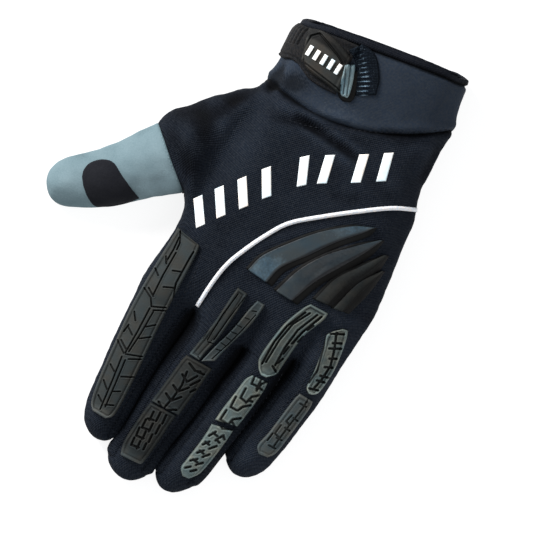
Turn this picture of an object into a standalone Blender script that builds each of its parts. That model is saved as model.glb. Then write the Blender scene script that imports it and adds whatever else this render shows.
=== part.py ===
"""A left-hand motocross glove lying palm down. Metres, +Y towards the fingertips, +X towards the thumb, +Z up.

The glove is one smooth shell, fitted through the sections below and cut into cloth panels, with moulded pieces on it.
Every x in a table is a share of PALM_WIDTH, every y a share of GLOVE_LENGTH and every z a share of PALM_HEIGHT.
"""
import bmesh
import bpy
import numpy as np

for leftover in list(bpy.data.objects):
    bpy.data.objects.remove(leftover, do_unlink=True)

# Driving sizes
PALM_WIDTH = 0.104
GLOVE_LENGTH = 0.2408
PALM_HEIGHT = 0.030
CLOTH_WALL = 0.0014
PALM_WALL = 0.0016
CUFF_WALL = 0.0024
BINDING_WALL = 0.0030
SEAM_GAP = 0.0003
PANEL_INSET = 0.00025
ARMOUR_HEIGHT = 0.0020
BLADE_HEIGHT = 0.0014
PIPING_WIDTH = 0.0023
PIPING_HEIGHT = 0.0010
PRINT_HEIGHT = 0.0004
PATCH_HEIGHT = 0.0009
STRAP_HEIGHT = 0.0020
TAB_HEIGHT = 0.0028
LOOP_HEIGHT = 0.0014

SCALE = np.array((PALM_WIDTH, GLOVE_LENGTH, PALM_HEIGHT))
SIDE_MID = 0.42  # height of the side seam, as a share of the crown
FLOOR_DIP = -0.02  # floor rows aim a little under the table, and are then pressed flat on it
FIT_ROUNDS = 24
FLAT_ANGLE = 0.023  # faces that meet at less than this many radians are made one
WELD = 0.0006  # corners of a laid piece closer than this become one

# Sections of the hand, fingers to wrist: side points by the thumb and by the little finger, how far the row bows
# towards the fingers, how far its floor reaches past its top, and its crown
# Columns: name, thumb_x, thumb_y, little_x, little_y, bow, reach, crown
SECTIONS = (
    ("web", 0.4154, 0.1246, -0.5692, 0.1121, 0.0000, 0.0000, 0.750),
    ("knuckle", 0.3933, 0.0561, -0.5837, 0.0374, 0.0187, 0.0000, 0.833),
    ("thumb_in", 0.3875, 0.0021, -0.5856, -0.0374, 0.0125, 0.0000, 0.900),
    ("thumb_mid", 0.4038, -0.1370, -0.5606, -0.1578, 0.0083, 0.0000, 0.967),
    ("thumb_out", 0.3558, -0.2915, -0.5183, -0.2928, 0.0478, 0.0000, 0.950),
    ("wrist", 0.3288, -0.3131, -0.5212, -0.3883, 0.0498, 0.0000, 0.900),
    ("cuff_low", 0.3202, -0.3634, -0.5029, -0.4194, 0.0291, 0.0000, 0.983),
    ("cuff_mid", 0.3231, -0.4028, -0.4894, -0.4506, 0.0083, -0.0042, 1.050),
    ("cuff_end", 0.3115, -0.4344, -0.4808, -0.4759, -0.0050, -0.0208, 1.050),
)
# Points across a section: share of its width from the thumb side, share of its crown, share of it at the floor
# Columns: across, top, floor
ACROSS = (
    (0.045, 0.74, 0.1),
    (0.15, 0.93, 0),
    (0.28, 1, 0),
    (0.415, 1, 0),
    (0.555, 0.99, 0),
    (0.68, 0.97, 0),
    (0.785, 0.92, 0),
    (0.885, 0.82, 0),
    (0.955, 0.66, 0.08),
)
# The row where the hand divides into fingers: y and z of its upper points, thumb side first
# Columns: y, z
FORK = (
    (0.1308, 0.617),
    (0.1412, 0.733),
    (0.1445, 0.500),
    (0.1599, 0.767),
    (0.1645, 0.517),
    (0.1557, 0.750),
    (0.1404, 0.483),
    (0.1287, 0.683),
    (0.1163, 0.483),
)
FORK_MID_Z = 0.27
# Finger sections, root to tip: the edge towards the thumb, the edge away from it, and the crown
# Columns: a_x, a_y, b_x, b_y, crown
FINGERS = {
    "index": (
        (0.4154, 0.1703, 0.1433, 0.1765, 0.683),
        (0.4096, 0.2409, 0.1635, 0.2492, 0.593),
        (0.4010, 0.3156, 0.1788, 0.3218, 0.527),
        (0.3894, 0.3862, 0.1865, 0.3924, 0.477),
        (0.3596, 0.4352, 0.1981, 0.4444, 0.407),
    ),
    "middle": (
        (0.1337, 0.1827, -0.1269, 0.1931, 0.707),
        (0.1548, 0.2533, -0.1010, 0.2616, 0.620),
        (0.1702, 0.3322, -0.0750, 0.3405, 0.560),
        (0.1788, 0.4091, -0.0404, 0.4153, 0.507),
        (0.1904, 0.4743, -0.0183, 0.4759, 0.427),
    ),
    "ring": (
        (-0.1385, 0.1890, -0.3490, 0.1765, 0.680),
        (-0.1115, 0.2575, -0.3212, 0.2471, 0.593),
        (-0.0885, 0.3281, -0.2942, 0.3218, 0.540),
        (-0.0567, 0.4003, -0.2625, 0.3945, 0.487),
        (-0.0337, 0.4601, -0.2240, 0.4551, 0.413),
    ),
    "little": (
        (-0.3596, 0.1682, -0.5615, 0.1516, 0.620),
        (-0.3365, 0.2284, -0.5471, 0.2159, 0.540),
        (-0.3163, 0.2865, -0.5221, 0.2782, 0.493),
        (-0.2942, 0.3364, -0.4971, 0.3339, 0.450),
        (-0.2923, 0.3762, -0.4596, 0.3762, 0.380),
    ),
}
FINGER_TIPS = {
    "index": (0.2769, 0.4618, 0.187),
    "middle": (0.0808, 0.5079, 0.193),
    "ring": (-0.1192, 0.4896, 0.187),
    "little": (-0.3712, 0.3991, 0.173),
}
# Thumb sections, root to tip: the edge in the crotch, the outer edge, and the crown
THUMB = (
    (0.4019, -0.0249, 0.5096, -0.2301, 0.907),
    (0.4221, -0.0399, 0.6442, -0.1736, 0.847),
    (0.4288, -0.0415, 0.6769, -0.1404, 0.810),
    (0.5106, -0.0158, 0.7260, -0.1113, 0.753),
    (0.6115, 0.0191, 0.7933, -0.0727, 0.667),
    (0.7173, 0.0552, 0.8827, -0.0299, 0.593),
    (0.8192, 0.0772, 0.9606, -0.0012, 0.520),
    (0.9173, 0.0901, 1.0115, 0.0357, 0.413),
)
THUMB_TIP = (0.9894, 0.0718, 0.187)
THUMB_SEAM = 3  # rows of the thumb from the hand to the seam where its own cloth begins
CORNER_IN, CORNER_UP, CORNER_FLOOR = 0.16, 0.80, 0.10  # where the four corners of a finger's section lie

# Rows of a moulded piece: the edge away from the thumb, the edge towards it, and the share of its height there
# Columns: left_x, left_y, right_x, right_y, rise
PIECES = {
    "index_armour": (
        (0.2644, 0.0341, 0.3750, 0.0228, 0.5),
        (0.2462, 0.0498, 0.3788, 0.0415, 1),
        (0.2471, 0.1827, 0.3990, 0.1827, 1),
        (0.2404, 0.2741, 0.3913, 0.2741, 1),
        (0.2356, 0.3488, 0.3808, 0.3488, 1),
        (0.2404, 0.4007, 0.3635, 0.3987, 1),
        (0.2692, 0.4165, 0.3365, 0.4153, 0.5),
    ),
    "middle_armour_left": (
        (-0.1308, 0.0781, -0.0923, 0.0772, 0.5),
        (-0.1250, 0.1038, -0.0760, 0.0997, 1),
        (-0.1077, 0.1370, -0.0577, 0.1370, 1),
        (-0.0846, 0.1661, -0.0385, 0.1661, 1),
        (-0.0673, 0.1890, -0.0212, 0.1869, 1),
        (-0.0500, 0.2139, 0.0038, 0.2259, 0.5),
    ),
    "middle_armour_right": (
        (-0.0385, 0.0748, 0.0125, 0.0723, 0.5),
        (-0.0365, 0.0997, 0.0212, 0.0980, 1),
        (-0.0250, 0.1453, 0.0327, 0.1453, 1),
        (-0.0135, 0.1786, 0.0462, 0.1786, 1),
        (0.0077, 0.2139, 0.0615, 0.2118, 1),
        (0.0135, 0.2267, 0.0673, 0.2251, 0.5),
    ),
    "middle_armour_mid": (
        (-0.0500, 0.2425, 0.0808, 0.2409, 0.5),
        (-0.0481, 0.2533, 0.0885, 0.2517, 1),
        (-0.0385, 0.2824, 0.0990, 0.2824, 1),
        (-0.0240, 0.3198, 0.1135, 0.3198, 1),
        (-0.0173, 0.3422, 0.1221, 0.3422, 0.5),
    ),
    "middle_armour_tip": (
        (-0.0067, 0.3513, 0.1250, 0.3513, 0.5),
        (-0.0010, 0.3654, 0.1308, 0.3654, 1),
        (0.0096, 0.4070, 0.1433, 0.4070, 1),
        (0.0192, 0.4402, 0.1481, 0.4402, 1),
        (0.0308, 0.4593, 0.1365, 0.4610, 0.5),
    ),
    "ring_armour_low": (
        (-0.3990, 0.0365, -0.3096, 0.0357, 0.5),
        (-0.3923, 0.0540, -0.2846, 0.0523, 1),
        (-0.3481, 0.0997, -0.2423, 0.0980, 1),
        (-0.3269, 0.1661, -0.2173, 0.1661, 1),
        (-0.3192, 0.1869, -0.2308, 0.1894, 1),
        (-0.2846, 0.2018, -0.2596, 0.2027, 0.5),
    ),
    "ring_armour_mid": (
        (-0.3019, 0.2093, -0.2250, 0.2101, 0.5),
        (-0.3038, 0.2243, -0.2058, 0.2243, 1),
        (-0.2952, 0.2575, -0.1923, 0.2575, 1),
        (-0.2827, 0.2907, -0.1779, 0.2907, 1),
        (-0.2731, 0.3123, -0.1692, 0.3206, 0.5),
    ),
    "ring_armour_tip": (
        (-0.2654, 0.3223, -0.1644, 0.3306, 0.5),
        (-0.2596, 0.3447, -0.1625, 0.3488, 1),
        (-0.2481, 0.3779, -0.1538, 0.3779, 1),
        (-0.2308, 0.4136, -0.1385, 0.4145, 1),
        (-0.2154, 0.4319, -0.1327, 0.4327, 1),
        (-0.1865, 0.4460, -0.1558, 0.4468, 0.5),
    ),
    "little_armour_low": (
        (-0.5135, 0.0482, -0.4885, 0.0498, 0.5),
        (-0.5269, 0.0664, -0.4385, 0.0731, 1),
        (-0.5385, 0.0997, -0.4481, 0.0997, 1),
        (-0.5423, 0.1329, -0.4615, 0.1412, 1),
        (-0.5288, 0.1786, -0.4654, 0.1802, 1),
        (-0.5038, 0.1910, -0.4865, 0.1919, 0.5),
    ),
    "little_armour_tip": (
        (-0.5212, 0.2018, -0.4519, 0.1993, 0.5),
        (-0.5231, 0.2201, -0.4385, 0.2201, 1),
        (-0.4981, 0.2907, -0.4115, 0.2907, 1),
        (-0.4827, 0.3239, -0.3923, 0.3256, 1),
        (-0.4577, 0.3389, -0.4135, 0.3405, 0.5),
    ),
    "blade_1": (
        (-0.4087, -0.1520, -0.3942, -0.1495, 0.3),
        (-0.3712, -0.1312, -0.3135, -0.1346, 0.7),
        (-0.2808, -0.0897, -0.1962, -0.0955, 1),
        (-0.2000, -0.0440, -0.0981, -0.0498, 1),
        (-0.1192, 0.0000, -0.0173, -0.0042, 1),
        (-0.0923, 0.0390, 0.0115, 0.0332, 1),
    ),
    "blade_2": (
        (-0.4654, -0.1370, -0.4519, -0.1354, 0.3),
        (-0.4212, -0.0997, -0.3692, -0.1047, 0.7),
        (-0.3519, -0.0523, -0.2615, -0.0590, 1),
        (-0.2827, -0.0058, -0.1885, -0.0108, 1),
        (-0.2308, 0.0482, -0.1423, 0.0449, 1),
    ),
    "blade_3": (
        (-0.5154, -0.1154, -0.5000, -0.1138, 0.3),
        (-0.4808, -0.0706, -0.4288, -0.0748, 0.7),
        (-0.4231, -0.0249, -0.3538, -0.0299, 1),
        (-0.3846, 0.0224, -0.3135, 0.0249, 1),
    ),
    "blade_4": (
        (-0.5327, -0.0855, -0.5212, -0.0839, 0.3),
        (-0.4962, -0.0374, -0.4519, -0.0415, 0.8),
        (-0.4558, 0.0208, -0.4058, 0.0241, 1),
    ),
    "thumb_patch": (
        (0.6442, 0.0108, 0.7692, -0.0249, 0.7),
        (0.6731, 0.0274, 0.8135, -0.0257, 1),
        (0.7115, 0.0424, 0.8500, -0.0066, 1),
        (0.7500, 0.0490, 0.8615, 0.0125, 1),
        (0.7885, 0.0482, 0.8519, 0.0291, 1),
        (0.8135, 0.0440, 0.8365, 0.0382, 0.7),
    ),
    "loop_patch": (
        (-0.0577, -0.4444, 0.0135, -0.4444, 1),
        (-0.0913, -0.4277, 0.0135, -0.4277, 1),
        (-0.1173, -0.4028, 0.0135, -0.4028, 1),
        (-0.1250, -0.3721, 0.0135, -0.3630, 1),
    ),
    "strap_tab": (
        (0.0721, -0.4194, 0.2115, -0.4327, 0.7),
        (0.0423, -0.4045, 0.2654, -0.4261, 1),
        (0.0327, -0.3821, 0.2519, -0.3862, 1),
        (0.0250, -0.3580, 0.1981, -0.3638, 0.7),
    ),
    "tab_grip": (
        (-0.0019, -0.4128, 0.0346, -0.4078, 0.7),
        (-0.0250, -0.3821, 0.0250, -0.3804, 1),
        (-0.0288, -0.3547, 0.0183, -0.3555, 0.7),
    ),
}
FLAT_TOP = ((0, 0.5), (0.14, 1), (0.86, 1), (1, 0.5))
RIDGED_TOP = ((0, 0.4), (0.5, 1), (1, 0.4))
SLAB_TOP = ((0, 1), (1, 1))
# White line over the back: x and y of its middle, from the finger fork to the side of the hand
# Columns: x, y
PIPING = (
    (0.1375, 0.1420),
    (0.1240, 0.0851),
    (0.1029, 0.0415),
    (0.0615, 0.0000),
    (0.0096, -0.0415),
    (-0.0577, -0.0831),
    (-0.1779, -0.1246),
    (-0.3125, -0.1661),
    (-0.4327, -0.2002),
    (-0.5423, -0.2218),
)
# Slanted white bars: the middle of each, its length and its width, the last two as vectors
# Columns: x, y, along_x, along_y, wide_x, wide_y
FLASHES = (
    (0.3231, -0.0233, -0.0716, 0.0480, 0.0273, 0.0150),
    (0.2596, -0.0581, -0.0690, 0.0487, 0.0281, 0.0147),
    (0.1885, -0.0939, -0.0677, 0.0491, 0.0285, 0.0146),
    (0.1154, -0.1321, -0.0623, 0.0504, 0.0301, 0.0140),
    (-0.0058, -0.1844, -0.0475, 0.0533, 0.0338, 0.0123),
    (-0.0923, -0.2076, -0.0252, 0.0561, 0.0383, 0.0096),
    (-0.2250, -0.2392, -0.0244, 0.0561, 0.0384, 0.0095),
    (-0.3212, -0.2641, -0.0272, 0.0559, 0.0379, 0.0098),
)
# The strap, in section columns and rows of the cuff: it comes round the thumb side from under the wrist
# Columns: column, upper_row, lower_row
STRAP = (
    (-0.6, 6, 7.7),
    (0.6, 6, 7.7),
    (1.5, 6.1, 7.7),
    (2.4, 5.85, 7.7),
    (3.6, 5.8, 7.65),
)


def across_section(row):
    """The 20 points of a hand section: thumb side, top, little-finger side, floor."""
    _, ax, ay, bx, by, bow, reach, crown = row
    start, end = np.array((ax, ay)), np.array((bx, by))

    def at(share, z, past):
        x, y = start + (end - start) * share
        return x, y + bow * 4 * share * (1 - share) + past, z

    top = [at(share, crown * up, 0) for share, up, _ in ACROSS]
    floor = [at(share, crown * low + FLOOR_DIP, reach) for share, _, low in ACROSS]
    sides = [at(share, crown * SIDE_MID, reach / 2) for share in (0, 1)]
    return [sides[0], *top, sides[1], *reversed(floor)]


def across_finger(row):
    """The 8 points of a finger section: top, far side, floor, near side."""
    ax, ay, bx, by, crown = row
    start, end = np.array((ax, ay)), np.array((bx, by))

    def at(share, z):
        return (*(start + (end - start) * share), z)

    low = crown * CORNER_FLOOR + FLOOR_DIP
    top = [at(CORNER_IN, crown * CORNER_UP), at(0.5, crown), at(1 - CORNER_IN, crown * CORNER_UP)]
    floor = [at(1 - CORNER_IN, low), at(0.5, FLOOR_DIP), at(CORNER_IN, low)]
    return [*top, at(1, crown * SIDE_MID), *floor, at(0, crown * SIDE_MID)]


class Cage:
    """Points that the shell passes through, and its faces. Each face corner carries its row and column."""

    def __init__(self):
        self.points, self.quads, self.corners, self.parts = [], [], [], []

    def add(self, points):
        first = len(self.points)
        self.points += [tuple(p) for p in points]
        return list(range(first, len(self.points)))

    def face(self, quad, corners, part):
        self.quads.append(quad)
        self.corners.append(corners)
        self.parts.append(part)

    def tube(self, root, rows, part, outward):
        """Eight-sided tube from a root ring through more rings, closed by four faces round a tip point."""
        rings = [root, *rows[:-1]]
        for i in range(len(rings) - 1):
            for j in range(8):
                near, far = rings[i], rings[i + 1]
                k = (j + 1) % 8
                quad, place = (near[j], far[j], far[k], near[k]), ((i, j), (i + 1, j), (i + 1, j + 1), (i, j + 1))
                if not outward:
                    quad, place = quad[::-1], place[::-1]
                self.face(quad, place, (part, i, j))
        last, tip, end = rings[-1], rows[-1][0], len(rings) - 1
        for j in range(0, 8, 2):
            quad = (last[j - 1], tip, last[(j + 1) % 8], last[j])
            place = ((end, j - 1), (end + 1, j), (end, j + 1), (end, j))
            if not outward:
                quad, place = quad[::-1], place[::-1]
            self.face(quad, place, (part, end, j))


def build_cage():
    cage = Cage()
    rings = [cage.add(across_section(row)) for row in SECTIONS]
    for column, (y, z) in enumerate(FORK):
        for index, height in ((column + 1, z), (19 - column, None)):
            x, _, old = cage.points[rings[0][index]]
            cage.points[rings[0][index]] = (x, y, old if height is None else height)
    for i in range(len(rings) - 1):
        for k in range(20):
            if i in (2, 3) and k in (0, 19):
                continue
            near, far = rings[i], rings[i + 1]
            column = k - 20 if k > 9 else k
            quad = (near[k], near[(k + 1) % 20], far[(k + 1) % 20], far[k])
            place = ((i, column), (i, column + 1), (i + 1, column + 1), (i + 1, column))
            cage.face(quad, place, ("hand", i, k))
    web = []
    for column in (2, 4, 6):
        x, y, _ = cage.points[rings[0][column + 1]]
        web += cage.add([(x, y, FORK_MID_Z)])
    mids = [rings[0][0], *web, rings[0][10]]
    for number, (name, rows) in enumerate(FINGERS.items()):
        first = 2 * number
        top = [rings[0][first + k + 1] for k in range(3)]
        floor = [rings[0][19 - first - k] for k in range(3)]
        root = [*top, mids[number + 1], *reversed(floor), mids[number]]
        tube = [cage.add(across_finger(row)) for row in rows]
        cage.tube(root, [*tube, cage.add([FINGER_TIPS[name]])], name, True)
    root = [rings[2][1], rings[3][1], rings[4][1], rings[4][0], rings[4][19], rings[3][19], rings[2][19], rings[2][0]]
    tube = [cage.add(across_finger(row)) for row in THUMB]
    cage.tube(root, [*tube, cage.add([THUMB_TIP])], "thumb", False)
    used = np.unique(np.array(cage.quads))
    renumber = np.full(len(cage.points), -1)
    renumber[used] = np.arange(len(used))
    points = np.array(cage.points)[used] * SCALE
    return points, renumber[np.array(cage.quads)], np.array(cage.corners, float), cage.parts


def edges_of(quads):
    ends = np.stack([quads, np.roll(quads, -1, axis=1)], axis=2).reshape(-1, 2)
    edges, of_face = np.unique(np.sort(ends, axis=1), axis=0, return_inverse=True)
    of_face = of_face.reshape(quads.shape)
    rim = np.bincount(of_face.ravel()) == 1
    return edges, of_face, rim


def sum_at(count, where, what):
    total = np.zeros((count, what.shape[-1]))
    np.add.at(total, where, what)
    return total


def smooth_step(points, quads, corners):
    """One Catmull-Clark step. The corner numbers are carried along without smoothing."""
    count = len(points)
    edges, of_face, rim = edges_of(quads)
    centres = points[quads].mean(axis=1)
    beside = sum_at(len(edges), of_face.ravel(), np.repeat(centres, 4, axis=0))
    halves = points[edges].mean(axis=1)
    on_edges = np.where(rim[:, None], halves, (2 * halves + beside) / 4)
    valence = np.bincount(edges.ravel(), minlength=count)[:, None]
    faces = np.bincount(quads.ravel(), minlength=count)[:, None]
    around = sum_at(count, quads.ravel(), np.repeat(centres, 4, axis=0)) / faces
    along = sum_at(count, edges.ravel(), np.repeat(halves, 2, axis=0)) / valence
    moved = (around + 2 * along + (valence - 3) * points) / valence
    ends = edges[rim].ravel()
    on_rim = np.unique(ends)
    rim_sum = sum_at(count, ends, np.repeat(halves[rim], 2, axis=0))
    moved[on_rim] = points[on_rim] / 2 + rim_sum[on_rim] / 4
    edge_ids = count + of_face
    face_ids = np.broadcast_to((count + len(edges) + np.arange(len(quads)))[:, None], quads.shape)
    finer = np.stack([quads, edge_ids, face_ids, np.roll(edge_ids, 1, axis=1)], axis=2).reshape(-1, 4)
    next_corner = (corners + np.roll(corners, -1, axis=1)) / 2
    middle = np.broadcast_to(corners.mean(axis=1, keepdims=True), corners.shape)
    carried = np.stack([corners, next_corner, middle, np.roll(next_corner, 1, axis=1)], axis=2)
    return np.concatenate([moved, on_edges, centres]), finer, carried.reshape(-1, 4, corners.shape[-1])


def on_surface(points, quads):
    """Where each point ends up when the cage is smoothed without end."""
    count = len(points)
    edges, _, rim = edges_of(quads)
    valence = np.bincount(edges.ravel(), minlength=count)[:, None]
    beside = sum_at(count, edges.ravel(), points[edges[:, ::-1]].reshape(-1, 3))
    across = sum_at(count, quads.ravel(), points[np.roll(quads, 2, axis=1)].reshape(-1, 3))
    limit = (valence**2 * points + 4 * beside + across) / (valence * (valence + 5))
    ends = edges[rim].ravel()
    on_rim = np.unique(ends)
    rim_sum = sum_at(count, ends, points[edges[rim][:, ::-1]].reshape(-1, 3))
    limit[on_rim] = (4 * points[on_rim] + rim_sum[on_rim]) / 6
    return limit


def fitted(points, quads):
    """The cage whose smooth surface passes through the given points."""
    cage = points.copy()
    for _ in range(FIT_ROUNDS):
        cage += points - on_surface(cage, quads)
    return cage


def face_normals(points, quads):
    a, b, c, d = (points[quads[:, k]] for k in range(4))
    normals = np.cross(c - a, d - b)
    return normals / np.linalg.norm(normals, axis=1, keepdims=True)


def point_normals(points, quads):
    a, b, c, d = (points[quads[:, k]] for k in range(4))
    total = sum_at(len(points), quads.ravel(), np.repeat(np.cross(c - a, d - b), 4, axis=0))
    return total / np.linalg.norm(total, axis=1, keepdims=True)


def panel_of(part):
    """Which cloth panel a face of the cage belongs to."""
    name, row, column = part
    if name == "hand":
        upper = column < 10
        if row > 4:
            return "cuff"
        return "hand_back" if upper else "palm"
    if name == "thumb":
        if row >= THUMB_SEAM:
            return "thumb"
        return "hand_back" if column in (7, 0, 1, 2) else "palm"
    order = list(FINGERS)
    place = order.index(name)
    if row == len(FINGERS[name]):
        return "hand_back" if column in (0, 2) else "palm"
    if column in (0, 1):
        return "hand_back"
    if column in (4, 5):
        return "palm"
    if column in (2, 3) and place < len(order) - 1:
        return f"fourchette_{name}_{order[place + 1]}"
    if column in (6, 7) and place > 0:
        return f"fourchette_{order[place - 1]}_{name}"
    return "hand_back" if column in (2, 7) else "palm"


def paint(name, colour, roughness):
    material = bpy.data.materials.new(name)
    material.use_nodes = True
    shader = material.node_tree.nodes["Principled BSDF"]
    shader.inputs["Base Color"].default_value = (*colour, 1)
    shader.inputs["Roughness"].default_value = roughness
    return material


def place(name, vertices, faces, colour, roughness):
    mesh = bpy.data.meshes.new(name)
    mesh.from_pydata([tuple(v) for v in vertices], [], [tuple(f) for f in faces])
    mesh.update()
    body = bpy.data.objects.new(name, mesh)
    body.data.materials.append(paint(name, colour, roughness))
    bpy.context.scene.collection.objects.link(body)
    return body


def rim_edges(faces):
    """Edges used by one face, in that face's direction."""
    forward = {(f[k], f[(k + 1) % len(f)]) for f in faces for k in range(len(f))}
    return [edge for edge in forward if edge[::-1] not in forward]


def inset_rim(points, normals, quads, distance):
    """Moves the panel's rim points into the panel, so that neighbouring panels keep a gap."""
    moved = points.copy()
    along = np.zeros_like(points)
    inward = np.zeros_like(points)
    rim = rim_edges([tuple(q) for q in quads])
    for a, b in rim:
        step = (points[b] - points[a]) / np.linalg.norm(points[b] - points[a])
        for end in (a, b):
            along[end] += step
            inward[end] += np.cross(normals[end], step)
    for index in {end for edge in rim for end in edge}:
        direction = inward[index] / np.linalg.norm(inward[index])
        moved[index] = points[index] + direction * distance
    return moved


def thinned(points, faces):
    """The same shape in fewer triangles: faces that meet almost flat become one before they are cut again."""
    mesh = bmesh.new()
    made = [mesh.verts.new(point) for point in points]
    for face in faces:
        mesh.faces.new([made[k] for k in face])
    bmesh.ops.dissolve_limit(mesh, angle_limit=FLAT_ANGLE, verts=mesh.verts[:], edges=mesh.edges[:])
    bmesh.ops.triangulate(mesh, faces=mesh.faces[:])
    mesh.verts.index_update()
    kept = [vertex.co[:] for vertex in mesh.verts]
    cut = [tuple(vertex.index for vertex in face.verts) for face in mesh.faces]
    mesh.free()
    return kept, cut


def triangles_of(quads):
    return [t for a, b, c, d in quads for t in ((a, b, c), (a, c, d))]


def cloth_panel(name, points, normals, quads, wall, colour, roughness):
    """A closed solid from the shell's outer faces, the same faces a wall further in, and the rim between them."""
    used = np.unique(quads)
    local = np.full(len(points), -1)
    local[used] = np.arange(len(used))
    quads = local[quads]
    outer = inset_rim(points[used], normals[used], quads, PANEL_INSET)
    inner = outer - normals[used] * wall
    count = len(used)
    inside = quads[:, ::-1] + count
    rim = [(b, a, a + count, b + count) for a, b in rim_edges([tuple(q) for q in quads])]
    outer[:, 2] = np.maximum(outer[:, 2], 0)
    shape = np.concatenate([outer, inner])
    return place(name, *thinned(shape, [*triangles_of(quads), *triangles_of(inside), *rim]), colour, roughness)


def clipped(polygon, start, end):
    """The part of a polygon that lies left of the line from start to end. A point is [x, y, carried numbers]."""
    kept = []
    side = [(end[0] - start[0]) * (p[1] - start[1]) - (end[1] - start[1]) * (p[0] - start[0]) for p in polygon]
    for k, point in enumerate(polygon):
        after = (k + 1) % len(polygon)
        if side[k] >= 0:
            kept.append(point)
        if (side[k] > 0 > side[after]) or (side[k] < 0 < side[after]):
            share = side[k] / (side[k] - side[after])
            kept.append(point + (polygon[after] - point) * share)
    return kept


def line_distance(point, start, end):
    run = end - start
    return abs(run[0] * (point[1] - start[1]) - run[1] * (point[0] - start[0])) / np.linalg.norm(run)


def without_folds(faces):
    """The faces without each pair that lies on the same three points, which welding leaves where a sliver folds."""
    kept = {}
    for face in faces:
        if kept.pop(frozenset(face), None) is None:
            kept[frozenset(face)] = face
    return list(kept.values())


def laid_piece(name, shell, cells, lift, height, colour, roughness, lean=0.0):
    """A solid laid on the shell: its faces follow the shell's, lifted, inside cells of four corners with heights.

    Shell is a list of triangles, each corner (x, y, point, normal). Cells are counter-clockwise quads in x and y.
    """
    mesh = bmesh.new()
    rise = mesh.verts.layers.float.new("rise")
    direction = mesh.verts.layers.float_vector.new("direction")
    for corners, heights in cells:
        corners = [np.array(c) for c in corners]
        low = np.min(corners, axis=0)
        high = np.max(corners, axis=0)
        for triangle in shell:
            if (triangle[:, :2].max(axis=0) < low).any() or (triangle[:, :2].min(axis=0) > high).any():
                continue
            polygon = list(triangle)
            for k in range(4):
                polygon = clipped(polygon, corners[k], corners[(k + 1) % 4]) if len(polygon) > 2 else []
            if len(polygon) < 3:
                continue
            made = []
            for point in polygon:
                sides = [line_distance(point, corners[k], corners[(k + 1) % 4]) for k in range(4)]
                up = sides[0] / (sides[0] + sides[2])
                side = sides[3] / (sides[3] + sides[1])
                vertex = mesh.verts.new(point[2:5])
                vertex[rise] = (heights[0] * (1 - side) + heights[1] * side) * (1 - up) + (
                    heights[3] * (1 - side) + heights[2] * side
                ) * up
                out = point[5:8] * lean + np.array((0, 0, 1 - lean))
                vertex[direction] = out / np.linalg.norm(out)
                made.append(vertex)
            mesh.faces.new(made)
    bmesh.ops.remove_doubles(mesh, verts=mesh.verts[:], dist=WELD)
    bmesh.ops.triangulate(mesh, faces=mesh.faces[:])
    mesh.verts.index_update()
    base = np.array([v.co[:] for v in mesh.verts])
    out = np.array([v[direction][:] for v in mesh.verts])
    rises = np.array([v[rise] for v in mesh.verts])[:, None]
    faces = without_folds([tuple(v.index for v in f.verts) for f in mesh.faces])
    mesh.free()
    count = len(base)
    bottom = base + out * lift
    top = bottom + out * rises * height
    under = [tuple(i + count for i in reversed(f)) for f in faces]
    rim = [t for a, b in rim_edges(faces) for t in ((b, a, a + count), (b, a + count, b + count))]
    return place(name, *thinned(np.concatenate([top, bottom]), [*faces, *under, *rim]), colour, roughness)


def on_hand(x, y):
    return np.array((x * PALM_WIDTH, y * GLOVE_LENGTH))


def cells_of(left, right, rises, profile):
    """Cells between two edges, row by row from the wrist to the fingertips, with the profile across them."""
    made = []
    for i in range(len(left) - 1):
        for (near, low), (far, high) in zip(profile, profile[1:]):
            corners = [
                left[i] + (right[i] - left[i]) * near,
                left[i] + (right[i] - left[i]) * far,
                left[i + 1] + (right[i + 1] - left[i + 1]) * far,
                left[i + 1] + (right[i + 1] - left[i + 1]) * near,
            ]
            heights = (rises[i] * low, rises[i] * high, rises[i + 1] * high, rises[i + 1] * low)
            made.append((corners, heights))
    return made


def cells_between(rows, profile):
    left = [on_hand(row[0], row[1]) for row in rows]
    right = [on_hand(row[2], row[3]) for row in rows]
    return cells_of(left, right, [row[4] for row in rows], profile)


def cells_along(path, width):
    """Cells of one width along a line, which runs from the fingers to the wrist."""
    middle = np.array([on_hand(*point) for point in reversed(path)])
    run = np.gradient(middle, axis=0)
    run /= np.linalg.norm(run, axis=1, keepdims=True)
    aside = np.stack([-run[:, 1], run[:, 0]], axis=1) * width / 2
    return cells_of(middle + aside, middle - aside, [1] * len(middle), SLAB_TOP)


def cells_of_bar(bar):
    x, y, along_x, along_y, wide_x, wide_y = bar
    middle, along, wide = on_hand(x, y), on_hand(along_x, along_y) / 2, on_hand(wide_x, wide_y) / 2
    ends = (middle - along, middle + along)
    return cells_of([end - wide for end in ends], [end + wide for end in ends], (1, 1), SLAB_TOP)


def cells_of_strap():
    left = [np.array((column, upper)) for column, upper, _ in STRAP]
    right = [np.array((column, lower)) for column, _, lower in STRAP]
    return cells_of(right, left, [1] * len(STRAP), SLAB_TOP)


def shell_triangles(points, normals, quads, corners, panels, wanted, in_plan):
    """Triangles of the wanted panels, each corner with its place in plan (or its column and row), point and normal."""
    found = []
    facing = face_normals(points, quads)
    for quad, corner, panel, normal in zip(quads, corners, panels, facing):
        if panel not in wanted or (in_plan and normal[2] <= 0):
            continue
        for turn in ((0, 1, 2), (0, 2, 3)):
            index = [quad[k] for k in turn]
            flat = points[index][:, :2] if in_plan else corner[list(turn)][:, ::-1]
            found.append(np.concatenate([flat, points[index], normals[index]], axis=1))
    return found


BLACK = (0.020, 0.022, 0.027)
NAVY = (0.035, 0.042, 0.056)
GRAY = (0.36, 0.42, 0.46)
WHITE = (0.82, 0.83, 0.85)
DARK_RUBBER = (0.035, 0.036, 0.036)
RING_RUBBER = (0.085, 0.088, 0.085)
BLADE_BLUE = (0.075, 0.095, 0.11)
GRIP = (0.16, 0.19, 0.21)
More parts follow.
